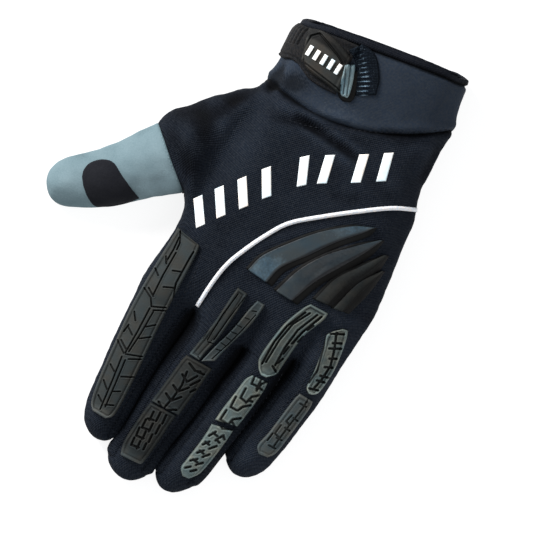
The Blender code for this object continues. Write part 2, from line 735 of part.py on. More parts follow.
# Columns: wall, colour, roughness
PANELS = {
    "hand_back": (CLOTH_WALL, BLACK, 0.85),
    "palm": (PALM_WALL, BLACK, 0.8),
    "fourchette_index_middle": (CLOTH_WALL, BLACK, 0.85),
    "fourchette_middle_ring": (CLOTH_WALL, BLACK, 0.85),
    "fourchette_ring_little": (CLOTH_WALL, BLACK, 0.85),
    "thumb": (CLOTH_WALL, GRAY, 0.9),
    "cuff": (CUFF_WALL, NAVY, 0.8),
    "cuff_binding": (BINDING_WALL, BLACK, 0.8),
}
ON_CLOTH = SEAM_GAP
ON_STRAP = STRAP_HEIGHT + 2 * SEAM_GAP
# Pieces: profile across, height, lift, lean of the lift from straight up to square on the cloth, colour, roughness
# Columns: profile, height, lift, lean, colour, roughness
LAID = {
    "index_armour": (FLAT_TOP, ARMOUR_HEIGHT, ON_CLOTH, 0, DARK_RUBBER, 0.5),
    "middle_armour_left": (RIDGED_TOP, ARMOUR_HEIGHT, ON_CLOTH, 0, DARK_RUBBER, 0.5),
    "middle_armour_right": (RIDGED_TOP, ARMOUR_HEIGHT, ON_CLOTH, 0, DARK_RUBBER, 0.5),
    "middle_armour_mid": (FLAT_TOP, ARMOUR_HEIGHT, ON_CLOTH, 0, DARK_RUBBER, 0.5),
    "middle_armour_tip": (FLAT_TOP, ARMOUR_HEIGHT, ON_CLOTH, 0, DARK_RUBBER, 0.5),
    "ring_armour_low": (FLAT_TOP, ARMOUR_HEIGHT, ON_CLOTH, 0, RING_RUBBER, 0.45),
    "ring_armour_mid": (FLAT_TOP, ARMOUR_HEIGHT, ON_CLOTH, 0, RING_RUBBER, 0.45),
    "ring_armour_tip": (FLAT_TOP, ARMOUR_HEIGHT, ON_CLOTH, 0, RING_RUBBER, 0.45),
    "little_armour_low": (FLAT_TOP, ARMOUR_HEIGHT, ON_CLOTH, 0, RING_RUBBER, 0.5),
    "little_armour_tip": (FLAT_TOP, ARMOUR_HEIGHT, ON_CLOTH, 0, DARK_RUBBER, 0.5),
    "blade_1": (RIDGED_TOP, BLADE_HEIGHT, ON_CLOTH, 0, BLADE_BLUE, 0.35),
    "blade_2": (RIDGED_TOP, BLADE_HEIGHT, ON_CLOTH, 0, DARK_RUBBER, 0.4),
    "blade_3": (RIDGED_TOP, BLADE_HEIGHT, ON_CLOTH, 0, DARK_RUBBER, 0.4),
    "blade_4": (RIDGED_TOP, BLADE_HEIGHT, ON_CLOTH, 0, DARK_RUBBER, 0.4),
    "thumb_patch": (SLAB_TOP, PATCH_HEIGHT, ON_CLOTH, 1, BLACK, 0.9),
    "loop_patch": (SLAB_TOP, LOOP_HEIGHT, ON_CLOTH, 1, NAVY, 0.95),
    "strap_tab": (FLAT_TOP, TAB_HEIGHT, ON_STRAP, 1, BLACK, 0.45),
    "tab_grip": (SLAB_TOP, TAB_HEIGHT, ON_STRAP, 1, GRIP, 0.5),
}


def build():
    targets, quads, corners, parts = build_cage()
    cage = fitted(targets, quads)
    cage, quads, corners = smooth_step(cage, quads, corners)
    points = on_surface(cage, quads)
    points[:, 2] = np.maximum(points[:, 2], 0)
    span = points.max(axis=0) + points.min(axis=0)
    points[:, :2] -= span[:2] / 2
    normals = point_normals(points, quads)
    panels = [panel_of(part) for part in parts for _ in range(4)]
    last_row = len(SECTIONS) - 1.5
    panels = [
        "cuff_binding" if panel == "cuff" and corner[:, 0].min() >= last_row else panel
        for panel, corner in zip(panels, corners)
    ]
    for name, (wall, colour, roughness) in PANELS.items():
        chosen = quads[[panel == name for panel in panels]]
        cloth_panel(name, points, normals, chosen, wall, colour, roughness)

    # The tables place the laid pieces where the sections are, so their shell is read before it was centred
    drawn = points + (span[0] / 2, span[1] / 2, 0)
    top = shell_triangles(drawn, normals, quads, corners, panels, tuple(PANELS), True)
    wrapped = shell_triangles(drawn, normals, quads, corners, panels, ("cuff", "cuff_binding"), False)
    laid = []
    for name, rows in PIECES.items():
        profile, height, lift, lean, colour, roughness = LAID[name]
        cells = cells_between(rows, profile)
        laid.append(laid_piece(name, top, cells, lift, height, colour, roughness, lean))
    laid.append(laid_piece("piping", top, cells_along(PIPING, PIPING_WIDTH), ON_CLOTH, PIPING_HEIGHT, WHITE, 0.5))
    for number, bar in enumerate(FLASHES, start=1):
        laid.append(laid_piece(f"back_flash_{number}", top, cells_of_bar(bar), ON_CLOTH, PRINT_HEIGHT, WHITE, 0.5))
    laid.append(laid_piece("wrist_strap", wrapped, cells_of_strap(), ON_CLOTH, STRAP_HEIGHT, BLACK, 0.8, 1.0))
    for body in laid:
        for vertex in body.data.vertices:
            vertex.co.x -= span[0] / 2
            vertex.co.y -= span[1] / 2


build()
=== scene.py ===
# %% [markdown]
# # A motocross glove that lies palm down
# The real thing is sewn from cloth panels and carries moulded rubber on its fingers and knuckles. This lesson dresses
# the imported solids: it builds one smooth shell for the whole glove, cuts it along the real seams, and then lays the
# rubber, the white line, the strap and the stitches on it. All tables are in millimetres, with the fingertips at +Y,
# the thumb at +X and the back of the hand facing up. The last step of each piece turns them into metres.

# %% Open the frame
import math

import bpy
import numpy as np
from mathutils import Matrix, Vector, noise
from mathutils.bvhtree import BVHTree
from mathutils.kdtree import KDTree


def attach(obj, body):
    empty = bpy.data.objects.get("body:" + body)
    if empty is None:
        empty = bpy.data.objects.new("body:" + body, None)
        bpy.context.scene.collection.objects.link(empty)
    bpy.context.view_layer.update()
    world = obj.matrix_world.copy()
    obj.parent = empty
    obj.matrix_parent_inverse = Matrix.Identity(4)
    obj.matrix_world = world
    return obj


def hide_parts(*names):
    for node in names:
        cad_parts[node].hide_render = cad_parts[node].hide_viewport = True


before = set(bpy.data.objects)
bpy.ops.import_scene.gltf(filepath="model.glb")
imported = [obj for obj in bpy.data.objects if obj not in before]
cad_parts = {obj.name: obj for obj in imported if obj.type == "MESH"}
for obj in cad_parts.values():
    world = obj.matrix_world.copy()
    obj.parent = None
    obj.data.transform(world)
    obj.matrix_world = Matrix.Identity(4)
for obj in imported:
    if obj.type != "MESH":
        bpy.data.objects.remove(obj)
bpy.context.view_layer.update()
print("solids in the frame:", len(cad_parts))

# %% [markdown]
# ## The sections of the hand
# A glove can be sculpted freely, but then it drifts away from its measured size. Here a few rows of points are
# measured instead, as a pattern maker does: nine sections from the knuckles to the wrist opening, five for each finger
# and eight for the thumb. Each row gives its two side edges and the height of its crown. The share tables say where
# the points of a row lie between those edges.

# %% Measured sections, in millimetres
# name, thumb side x and y, little-finger side x and y, bow towards the fingers, reach of the floor, crown
SECTIONS = (
    ("web", 43.2, 30, -59.2, 27, 0, 0, 22.5),
    ("knuckle", 40.9, 13.5, -60.7, 9, 4.5, 0, 25),
    ("thumb_in", 40.3, 0.5, -60.9, -9, 3, 0, 27),
    ("thumb_mid", 42, -33, -58.3, -38, 2, 0, 29),
    ("thumb_out", 37, -70.2, -53.9, -70.5, 11.5, 0, 28.5),
    ("wrist", 34.2, -75.4, -54.2, -93.5, 12, 0, 27),
    ("cuff_low", 33.3, -87.5, -52.3, -101, 7, 0, 29.5),
    ("cuff_mid", 33.6, -97, -50.9, -108.5, 2, -1, 31.5),
    ("cuff_end", 32.4, -104.6, -50, -114.6, -1.2, -5, 31.5),
)
# across from the thumb side, share of the crown on top, share of the crown at the floor
ACROSS = (
    (0.045, 0.74, 0.1),
    (0.15, 0.93, 0),
    (0.28, 1, 0),
    (0.415, 1, 0),
    (0.555, 0.99, 0),
    (0.68, 0.97, 0),
    (0.785, 0.92, 0),
    (0.885, 0.82, 0),
    (0.955, 0.66, 0.08),
)
# y and z of the row where the fingers part, thumb side first
FORK = (
    (31.5, 18.5),
    (34, 22),
    (34.8, 15),
    (38.5, 23),
    (39.6, 15.5),
    (37.5, 22.5),
    (33.8, 14.5),
    (31, 20.5),
    (28, 14.5),
)
# thumb side x and y, little-finger side x and y, crown
FINGERS = {
    "index": (
        (43.2, 41, 14.9, 42.5, 20.5),
        (42.6, 58, 17, 60, 17.8),
        (41.7, 76, 18.6, 77.5, 15.8),
        (40.5, 93, 19.4, 94.5, 14.3),
        (37.4, 104.8, 20.6, 107, 12.2),
    ),
    "middle": (
        (13.9, 44, -13.2, 46.5, 21.2),
        (16.1, 61, -10.5, 63, 18.6),
        (17.7, 80, -7.8, 82, 16.8),
        (18.6, 98.5, -4.2, 100, 15.2),
        (19.8, 114.2, -1.9, 114.6, 12.8),
    ),
    "ring": (
        (-14.4, 45.5, -36.3, 42.5, 20.4),
        (-11.6, 62, -33.4, 59.5, 17.8),
        (-9.2, 79, -30.6, 77.5, 16.2),
        (-5.9, 96.4, -27.3, 95, 14.6),
        (-3.5, 110.8, -23.3, 109.6, 12.4),
    ),
    "little": (
        (-37.4, 40.5, -58.4, 36.5, 18.6),
        (-35, 55, -56.9, 52, 16.2),
        (-32.9, 69, -54.3, 67, 14.8),
        (-30.6, 81, -51.7, 80.4, 13.5),
        (-30.4, 90.6, -47.8, 90.6, 11.4),
    ),
}
# x, y and z of the end of each finger
FINGER_TIPS = {
    "index": (28.8, 111.2, 5.6),
    "middle": (8.4, 122.3, 5.8),
    "ring": (-12.4, 117.9, 5.6),
    "little": (-38.6, 96.1, 5.2),
}
# the same for the thumb: side by the fingers, far side, crown
THUMB = (
    (41.8, -6, 53, -55.4, 27.2),
    (43.9, -9.6, 67, -41.8, 25.4),
    (44.6, -10, 70.4, -33.8, 24.3),
    (53.1, -3.8, 75.5, -26.8, 22.6),
    (63.6, 4.6, 82.5, -17.5, 20),
    (74.6, 13.3, 91.8, -7.2, 17.8),
    (85.2, 18.6, 99.9, -0.3, 15.6),
    (95.4, 21.7, 105.2, 8.6, 12.4),
)
THUMB_TIP = (102.9, 17.3, 5.6)
# height of the side seams as a share of the crown, how far the palm swells below its row, height of the crotches
SIDE_MID = 0.42
FLOOR_DIP = -0.6
FORK_MID = 8.1
finger_rows = sum(len(rows) for rows in FINGERS.values())
print("sections:", len(SECTIONS), "finger rows:", finger_rows, "thumb rows:", len(THUMB))


# %% [markdown]
# ## From rows to a cage
# The rows are joined into one cage of four-sided faces: a tube of twenty columns for the hand, four eight-sided
# tubes that start where the fingers part, and one that grows out of the side for the thumb. One cage for everything
# keeps the cloth continuous at the crotches of the fingers, which separate tubes can't do.

# %% Rows of points
def hand_row(row):
    _, ax, ay, bx, by, bow, reach, crown = row

    def at(share, z, past):
        return (ax + (bx - ax) * share, ay + (by - ay) * share + bow * 4 * share * (1 - share) + past, z)

    top = [at(share, crown * up, 0) for share, up, _ in ACROSS]
    floor = [at(share, crown * low + FLOOR_DIP, reach) for share, _, low in ACROSS]
    sides = [at(share, crown * SIDE_MID, reach / 2) for share in (0, 1)]
    return [sides[0], *top, sides[1], *reversed(floor)]


def finger_row(row):
    ax, ay, bx, by, crown = row

    def at(share, z):
        return (ax + (bx - ax) * share, ay + (by - ay) * share, z)

    low = crown * 0.10 + FLOOR_DIP
    top = [at(0.16, crown * 0.8), at(0.5, crown), at(0.84, crown * 0.8)]
    return [*top, at(1, crown * SIDE_MID), at(0.84, low), at(0.5, FLOOR_DIP), at(0.16, low), at(0, crown * SIDE_MID)]


print("points in a hand row:", len(hand_row(SECTIONS[0])), "in a finger row:", len(finger_row(THUMB[0])))

# %% [markdown]
# ## Joining the rows
# Neighbouring rows are joined by four-sided faces. Each face also keeps the row and the column of its corners, because
# the panels, the strap and the cuff are found by them later on. Looking for them by distance would go wrong where two
# fingers touch.

# %% Faces that remember their row and column
# columns round the hand, and columns round a finger
COLUMNS = 20
SIDES = 8
points, quads, corners, parts = [], [], [], []


def add(rows):
    """Adds points to the cage and returns their numbers."""
    points.extend(tuple(p) for p in rows)
    return list(range(len(points) - len(rows), len(points)))


def face(quad, corner, part, turned=False):
    """Adds a face, with the row and column of each of its corners and the part that it belongs to."""
    quads.append(quad[::-1] if turned else quad)
    corners.append(corner[::-1] if turned else corner)
    parts.append(part)


def tube(root, rows, tip, part, turned):
    """Joins the rows of a finger to each other and closes the last one with four faces that meet at the tip."""
    rings = [root, *rows]
    end = len(rows)
    for i, (near, far) in enumerate(zip(rings, rings[1:])):
        for j in range(SIDES):
            k = (j + 1) % SIDES
            quad = (near[j], far[j], far[k], near[k])
            face(quad, ((i, j), (i + 1, j), (i + 1, j + 1), (i, j + 1)), (part, i, j), turned)
    last = rings[-1]
    for j in range(0, SIDES, 2):
        quad = (last[j - 1], tip, last[(j + 1) % SIDES], last[j])
        face(quad, ((end, j - 1), (end + 1, j), (end, j + 1), (end, j)), (part, end, j), turned)


print("a finger's tube has", SIDES, "columns and the hand has", COLUMNS)

# %% [markdown]
# ## One cage for the whole glove
# The tube of the hand ends in four openings for the fingers, which share the points of the crotches, and it has a
# hole at its side for the thumb. Each finger's tube is joined to its own opening, so nothing has to be welded later.

# %% The cage
# the thumb grows out of these rows and columns of the hand
THUMB_ROWS, THUMB_COLUMNS = (2, 3), (0, COLUMNS - 1)
rings = [add(hand_row(row)) for row in SECTIONS]
for column, (y, z) in enumerate(FORK):
    upper, lower = rings[0][column + 1], rings[0][COLUMNS - 1 - column]
    points[upper] = (points[upper][0], y, z)
    points[lower] = (points[lower][0], y, points[lower][2])
for i, (near, far) in enumerate(zip(rings, rings[1:])):
    for k in range(COLUMNS):
        if i in THUMB_ROWS and k in THUMB_COLUMNS:
            continue
        n = (k + 1) % COLUMNS
        c = k if k < COLUMNS / 2 else k - COLUMNS
        face((near[k], near[n], far[n], far[k]), ((i, c), (i, c + 1), (i + 1, c + 1), (i + 1, c)), ("hand", i, k))
mids = [rings[0][0], *(add([(*points[rings[0][c + 1]][:2], FORK_MID)])[0] for c in (2, 4, 6)), rings[0][10]]
for number, (name, rows) in enumerate(FINGERS.items()):
    top = [rings[0][2 * number + k + 1] for k in range(3)]
    floor = [rings[0][COLUMNS - 1 - 2 * number - k] for k in range(3)]
    root = [*top, mids[number + 1], *reversed(floor), mids[number]]
    tube(root, [add(finger_row(row)) for row in rows], add([FINGER_TIPS[name]])[0], name, False)
around_hole = ((2, 1), (3, 1), (4, 1), (4, 0), (4, -1), (3, -1), (2, -1), (2, 0))
root = [rings[row][column] for row, column in around_hole]
tube(root, [add(finger_row(row)) for row in THUMB], add([THUMB_TIP])[0], "thumb", True)

used = np.unique(np.array(quads))
renumber = np.full(len(points), -1)
renumber[used] = np.arange(len(used))
targets = np.array(points, float)[used]
quads = renumber[np.array(quads)]
corners = np.array(corners, float)
print("cage:", len(targets), "points,", len(quads), "faces")


# %% [markdown]
# ## Smoothing the cage
# Blender's Subdivision Surface modifier would do, but the shell is cut and pushed about afterwards, so the same
# Catmull-Clark step is written out here in numpy. Smoothing shrinks a cage, so the cage is first swollen until its
# smooth surface passes through the measured points.

# %% One smoothing step
def edges_of(quads):
    """The edges, the four edges of each face, and which edges only one face uses."""
    ends = np.stack([quads, np.roll(quads, -1, axis=1)], axis=2).reshape(-1, 2)
    edges, of_face = np.unique(np.sort(ends, axis=1), axis=0, return_inverse=True)
    of_face = of_face.reshape(quads.shape)
    return edges, of_face, np.bincount(of_face.ravel()) == 1


def sum_at(count, where, what):
    """Adds up rows of values at the points that they belong to."""
    return np.stack([np.bincount(where, what[:, k], minlength=count) for k in range(what.shape[1])], axis=1)


def smooth_step(points, quads, corners):
    """One Catmull-Clark step. The corners' rows and columns are carried along to the finer faces."""
    count = len(points)
    edges, of_face, rim = edges_of(quads)
    centres = points[quads].mean(axis=1)
    halves = points[edges].mean(axis=1)
    beside = sum_at(len(edges), of_face.ravel(), np.repeat(centres, 4, axis=0))
    on_edges = np.where(rim[:, None], halves, (2 * halves + beside) / 4)
    valence = np.bincount(edges.ravel(), minlength=count)[:, None]
    faces = np.bincount(quads.ravel(), minlength=count)[:, None]
    around = sum_at(count, quads.ravel(), np.repeat(centres, 4, axis=0)) / faces
    along = sum_at(count, edges.ravel(), np.repeat(halves, 2, axis=0)) / valence
    moved = (around + 2 * along + (valence - 3) * points) / valence
    ends = edges[rim].ravel()
    rim_sum = sum_at(count, ends, np.repeat(halves[rim], 2, axis=0))
    moved[ends] = points[ends] / 2 + rim_sum[ends] / 4
    edge_ids = count + of_face
    face_ids = np.broadcast_to((count + len(edges) + np.arange(len(quads)))[:, None], quads.shape)
    finer = np.stack([quads, edge_ids, face_ids, np.roll(edge_ids, 1, axis=1)], axis=2).reshape(-1, 4)
    beyond = (corners + np.roll(corners, -1, axis=1)) / 2
    middle = np.broadcast_to(corners.mean(axis=1, keepdims=True), corners.shape)
    carried = np.stack([corners, beyond, middle, np.roll(beyond, 1, axis=1)], axis=2)
    return np.concatenate([moved, on_edges, centres]), finer, carried.reshape(-1, 4, 2)


# %% [markdown]
# ## A surface through the measured points
# A smoothed cage ends up inside its own points, so a glove made from the measured rows would come out too thin. There
# is a formula for where each point would end after endless smoothing. The cage is moved by what is missing, again and
# again, until that surface goes through the rows.

# %% The smooth surface of a cage, and the cage that fits the measured points
def on_surface(points, quads):
    """Where the points of a cage end up after endless smoothing."""
    count = len(points)
    edges, _, rim = edges_of(quads)
    valence = np.bincount(edges.ravel(), minlength=count)[:, None]
    beside = sum_at(count, edges.ravel(), points[edges[:, ::-1]].reshape(-1, 3))
    across = sum_at(count, quads.ravel(), points[np.roll(quads, 2, axis=1)].reshape(-1, 3))
    limit = (valence**2 * points + 4 * beside + across) / (valence * (valence + 5))
    ends = edges[rim].ravel()
    rim_sum = sum_at(count, ends, points[edges[rim][:, ::-1]].reshape(-1, 3))
    limit[ends] = (4 * points[ends] + rim_sum[ends]) / 6
    return limit


FIT_ROUNDS = 24
cage = targets.copy()
for _ in range(FIT_ROUNDS):
    cage += targets - on_surface(cage, quads)
miss = np.abs(targets - on_surface(cage, quads)).max()
print("furthest the surface lies from a measured point:", miss.round(2), "mm")

# %% [markdown]
# ## Dividing the surface
# Four divisions turn 400 faces into about 100,000, fine enough for folds a few millimetres wide. A shader could fake
# such folds, but then the outline of the glove would stay smooth.

# %% Smooth it, and find the middle of the part
# how many times the cage is divided
FINENESS = 4
skin, fine, place = smooth_step(cage, quads, corners)
coarse = on_surface(skin, fine)
MIDDLE = (coarse.max(axis=0) + coarse.min(axis=0)) / 2 * (1, 1, 0)
for _ in range(FINENESS - 1):
    skin, fine, place = smooth_step(skin, fine, place)
skin = on_surface(skin, fine)
skin[:, 2] = np.maximum(skin[:, 2], 0)
print("shell:", len(skin), "points,", len(fine), "faces; middle of the part at", MIDDLE.round(2))


# %% [markdown]
# ## Cutting the panels
# A real glove is cut as a back panel, a palm, strips between the fingers, a thumb and a cuff. Every face of the shell
# knows which row and column of the cage it came from, so the seams follow the rows and need no cutting tool.

# %% Which panel a face belongs to
# rows where the cuff, the thumb's sleeve and the binding start
CUFF_ROW, THUMB_SEAM, BINDING_ROW = 5, 3, len(SECTIONS) - 1.33
ORDER = list(FINGERS)


def panel_of(part):
    name, row, column = part
    if name == "hand" and row >= CUFF_ROW:
        return "cuff"
    if name == "hand":
        return "hand_back" if column < COLUMNS / 2 else "palm"
    if name == "thumb" and row >= THUMB_SEAM:
        return "thumb"
    if name == "thumb":
        return "hand_back" if column in (7, 0, 1, 2) else "palm"
    number = ORDER.index(name)
    if row == len(FINGERS[name]):
        return "hand_back" if column in (0, 2) else "palm"
    if column in (0, 1, 4, 5):
        return "hand_back" if column < 2 else "palm"
    if column in (2, 3) and number < 3:
        return f"fourchette_{name}_{ORDER[number + 1]}"
    if column in (6, 7) and number > 0:
        return f"fourchette_{ORDER[number - 1]}_{name}"
    return "hand_back" if column in (2, 7) else "palm"


PANELS = sorted({panel_of(part) for part in parts} | {"cuff_binding"})
number_of = {name: k for k, name in enumerate(PANELS)}
panel = np.repeat([number_of[panel_of(part)] for part in parts], 4**FINENESS)
in_binding = (panel == number_of["cuff"]) & (place[:, :, 0].min(axis=1) >= BINDING_ROW)
panel[in_binding] = number_of["cuff_binding"]
print("panels:", ", ".join(PANELS))


# %% [markdown]
# ## Cloth that has been worn
# Sewn cloth is never as smooth as its pattern. It sinks into its seams and puckers beside them, it creases where the
# wrist narrows and where fingers bend, and it has slow waves in between. A cloth simulation could find such folds, but
# they are few and their places are known, so they are pushed into the shell one by one.

# %% Normals, and a bell curve that all soft marks are made of
def point_normals(points, quads):
    a, b, c, d = (points[quads[:, k]] for k in range(4))
    total = sum_at(len(points), quads.ravel(), np.repeat(np.cross(c - a, d - b), 4, axis=0))
    return total / np.linalg.norm(total, axis=1, keepdims=True)


def bell(distance, width):
    """1 at no distance, fading to nothing past about twice the width."""
    return np.exp(-((distance / width) ** 2))


normal = point_normals(skin, fine)
upper = np.clip(normal[:, 2] * 2, 0, 1)
print("points that face up:", int((upper == 1).sum()))


# %% [markdown]
# ## Distances to the seams
# Real seams pull the cloth in and pucker it beside them. To do the same, each point has to know how far it is from the
# nearest seam. A tree of the seam's points answers that quickly, and edge lengths along the mesh aren't needed.

# %% How far each point is from a seam and from the opening
# how far from seams, from the cuff's seam, from the binding and from the opening the cloth is changed
SEAM_REACH, CUFF_REACH, BINDING_REACH, HEM_REACH = 6.0, 7.0, 5.0, 12.0


def panels_at_points():
    """The lowest and the highest number of the panels that meet at each point."""
    low = np.full(len(skin), len(PANELS))
    high = np.full(len(skin), -1)
    np.minimum.at(low, fine.ravel(), np.repeat(panel, 4))
    np.maximum.at(high, fine.ravel(), np.repeat(panel, 4))
    return low, high


def distance_to(chosen, reach):
    """Distance of every point of the shell to the nearest chosen point, up to a reach."""
    tree = KDTree(len(chosen))
    for k, index in enumerate(chosen):
        tree.insert(skin[index], k)
    tree.balance()
    lowest, highest = skin[chosen].min(axis=0) - reach, skin[chosen].max(axis=0) + reach
    near = ((skin > lowest) & (skin < highest)).all(axis=1)
    found = np.full(len(skin), float(reach))
    for k in np.nonzero(near)[0]:
        found[k] = min(reach, tree.find(skin[k])[2])
    return found


def seam_between(first, second, reach):
    pair = sorted((number_of[first], number_of[second]))
    return distance_to(np.nonzero((low == pair[0]) & (high == pair[1]))[0], reach)


low, high = panels_at_points()
seam_points = np.nonzero(low != high)[0]
from_seam = distance_to(seam_points, SEAM_REACH)
from_cuff_seam = seam_between("cuff", "hand_back", CUFF_REACH)
from_binding = seam_between("cuff", "cuff_binding", BINDING_REACH)
edges, _, open_edge = edges_of(fine)
from_opening = distance_to(np.unique(edges[open_edge]), HEM_REACH)
print("points on seams:", len(seam_points))


# %% [markdown]
# ## Folds that stay in a worn glove
# The cloth creases across the wrist and beside the thumb, and stands up in ridges on the back. The folds were read off
# the photograph as bent lines, each with a width and a depth. Sculpting them by hand would look as good, but a table
# can be read and changed.

# %% Folds, shades and bulges
# three points x, y along a fold, its width, its depth (below zero for a swell)
CREASES = (
    (13.1, -65.4, -5.6, -63.2, -21.9, -60.7, 1.9, 2),
    (22.9, -60.5, 7.5, -64.8, -10.1, -71.5, 2.4, 0.8),
    (32, -86.8, 30.5, -75.2, 31.1, -69.6, 2.2, 1.6),
    (34.7, -73, 38.1, -66, 44.2, -57.5, 2.4, 0.7),
    (27.7, -69.7, 19.2, -67, 5.3, -67.2, 3, -0.5),
    (56.7, -51.1, 48.2, -44.9, 45.2, -34.1, 3.4, 0.5),
    (43.6, -61.4, 44.1, -54.1, 48.2, -48.4, 3, 0.9),
    (-24.6, -77.5, -35, -79.4, -44.6, -86.2, 2.6, 0.9),
    (-52.7, -84.2, -52.5, -74.5, -52, -65.4, 2.4, 0.9),
    (-27.6, -59.8, -36.1, -51.9, -45.5, -52.4, 3, 0.35),
    (-17.5, -40.4, -25.5, -41.9, -31.3, -45.9, 2.4, 0.4),
    (3.1, -63.1, -9.4, -64.3, -19.4, -70.4, 3, 0.4),
    (-19.2, -1.7, -27.7, -15.8, -41.4, -30, 2.2, -0.7),
    (-28.3, 2.3, -33.7, -11, -46.3, -27.3, 2, -0.6),
    (-38.1, 4.3, -43.1, -9.8, -50.6, -22.5, 1.8, -0.5),
    (1.5, -4.2, -12.3, -18.3, -31.2, -32.6, 2, -0.45),
    (11.2, 21.1, 8.9, 12, 4.8, 4.6, 2.6, 0.35),
    (-12.4, 8.9, -20.1, 10.1, -27.7, 11.4, 2.4, 0.45),
    (-49.2, 2, -56.2, 1.9, -61.1, 2.8, 2.6, 0.4),
    (64.7, -32.8, 56.3, -26.6, 45.7, -19.8, 4, 0.7),
    (60.1, -47.5, 52.3, -42.8, 44.5, -34.5, 4.2, 0.6),
    (49.8, -58.1, 42, -49.9, 39, -40.9, 4.2, -0.5),
)
# x, y, reach, tone: patches of painted light, and of painted shade where the tone is below zero
SHADES = (
    (96, -4.2, 5, -0.45),
    (85.7, -15.7, 5, -0.45),
    (76.2, -27.7, 5, -0.4),
    (60.4, -4.2, 5, 0.8),
    (53.2, -10.6, 5, 0.7),
    (52.6, -16.2, 4, 0.4),
    (54.3, -43.5, 8, -0.45),
    (63.9, -42.7, 7, -0.4),
    (50.7, -29.5, 7, -0.45),
    (47.1, -20.9, 5, -0.35),
    (47.4, -55.5, 7, -0.45),
    (41.8, -63.2, 6, -0.4),
    (29.3, -44.2, 12, 0.2),
    (16.5, -71.9, 12, 0.15),
    (-2.9, -78.5, 18, 0.3),
    (8, -82.6, 5, -0.5),
    (18.6, -80.1, 7, -1),
    (26, -78.3, 6, -0.8),
    (31.3, -76.6, 5, -0.7),
    (10.8, -64.4, 7, -0.3),
    (-23.8, -102.6, 12, -0.25),
    (-21, -84.4, 9, -0.25),
    (-41.7, -95.2, 7, -0.2),
    (-47.3, 15.3, 16, 0.3),
    (30.6, 26, 12, 0.1),
    (-61.6, 34.2, 14, 0.25),
    (-43.6, 85.8, 9, 0.4),
)
# x, y, z, reach, height: where the cloth bulges out at its sides or is pulled in
BUMPS = (
    (-59, -47, 12, 6, 1.1),
    (-56, -62, 12, 7, -0.9),
    (42, -62, 12, 7, 0.8),
    (37, -69, 12, 4, -0.9),
    (36, -79, 13, 4, 1.0),
    (54, -56, 10, 6, 0.7),
    (62, -48, 10, 4, -0.6),
    (-56, -97, 12, 5, -0.5),
    (-60, 2, 12, 9, 0.5),
)
print("folds:", len(CREASES), "shades:", len(SHADES), "bulges:", len(BUMPS))


# %% [markdown]
# ## Pushing the folds in
# A fold is a valley with a low swell on both sides, because the cloth has to go somewhere. It fades out towards the
# ends of its line, and only the upper side of the glove gets it.

# %% Folds pushed into the cloth
def from_line(xy, x0, y0, x1, y1):
    """Distance from a line, and how far along it, as a share."""
    run = np.array((x1 - x0, y1 - y0))
    share = ((xy - (x0, y0)) @ run) / (run @ run)
    nearest = np.array((x0, y0)) + np.clip(share, 0, 1)[:, None] * run
    return np.linalg.norm(xy - nearest, axis=1), share


def waves(points, size, seed):
    """Slow noise between about -1 and 1."""
    shift = Vector((seed * 7.3, seed * 3.1, seed * 1.7))
    return np.array([noise.noise(Vector(p) / size + shift) for p in points])


# a fold throws up a low swell on each side: its place in widths of the fold, and its share of the depth
SWELL_PLACE, SWELL_SHARE = 2.1, 0.45
fold = np.zeros(len(skin))
for *bends, width, depth in CREASES:
    for x0, y0, x1, y1 in (bends[:4], bends[2:]):
        apart, share = from_line(skin[:, :2], x0, y0, x1, y1)
        fade = np.clip(1.2 - np.abs(share - 0.5) * 1.6, 0, 1)
        swell = SWELL_SHARE * bell(apart - SWELL_PLACE * width, width)
        fold -= upper * depth * fade * (bell(apart, width) - swell)
push = fold.copy()
for x, y, z, reach, height in BUMPS:
    push += height * bell(np.linalg.norm(skin - (x, y, z), axis=1), reach)
print("folds go from", fold.min().round(2), "to", fold.max().round(2), "mm")

# %% [markdown]
# ## Waves, pucker and hem
# Between its folds the cloth is never quite flat, so slow noise moves it a little, and more so near the wrist. Seams
# sink in with fine pucker beside them, and the band of the cuff swells beside its own seam.

# %% Waves, seams and the hem
# heights and sizes of the slow and the quick waves; the quick ones grow towards the wrist
SLOW_WAVE, QUICK_WAVE = (0.35, 17.0), (0.12, 7.0)
MORE_AT_WRIST = 0.16
# height, reach and size of the pucker beside a seam, and depth and width of the seam itself
PUCKER, SEAM = (0.22, 2.4, 2.6), (0.5, 0.7)
# the band of the cuff swells beside its seam: height, distance and width of the swell, depth and width of the seam
HEM_SWELL, HEM_SEAM = (0.5, 3.0, 1.6), (1.0, 1.2)
BINDING_SEAM = (0.8, 0.7)
wristward = np.clip((28 - skin[:, 1]) / 30, 0, 1)
push += SLOW_WAVE[0] * waves(skin, SLOW_WAVE[1], 1)
push += (QUICK_WAVE[0] + MORE_AT_WRIST * wristward) * waves(skin * (1, 1.6, 1), QUICK_WAVE[1], 2)
push += PUCKER[0] * bell(from_seam, PUCKER[1]) * waves(skin, PUCKER[2], 3) - SEAM[0] * bell(from_seam, SEAM[1])
push += HEM_SWELL[0] * bell(from_cuff_seam - HEM_SWELL[1], HEM_SWELL[2])
push -= HEM_SEAM[0] * bell(from_cuff_seam, HEM_SEAM[1]) + BINDING_SEAM[0] * bell(from_binding, BINDING_SEAM[1])
print("cloth pushed by", push.min().round(2), "to", push.max().round(2), "mm")

# %% [markdown]
# ## Painted light and shade on the cloth
# Black cloth shows its folds by their shade more than by their light, so the shade is painted into its colour: each
# point stores a tone, darker in folds and seams, paler on the swells beside folds, and darkest in the crevices between
# the fingers, where the side strips of neighbouring fingers touch. The strips are pushed out a little there, so that no
# white of the table shows between the fingers. Their sides that face down get painted shade too, and a table of patches
# adds painted light and painted shade on the upper side.

# %% Painted light and shade of the cloth
# the strips between the fingers: how far they are pushed out, less at the seam, and over what width
STRIP_OUT, STRIP_OUT_SEAM, STRIP_WIDTH = 0.8, 0.7, 0.9
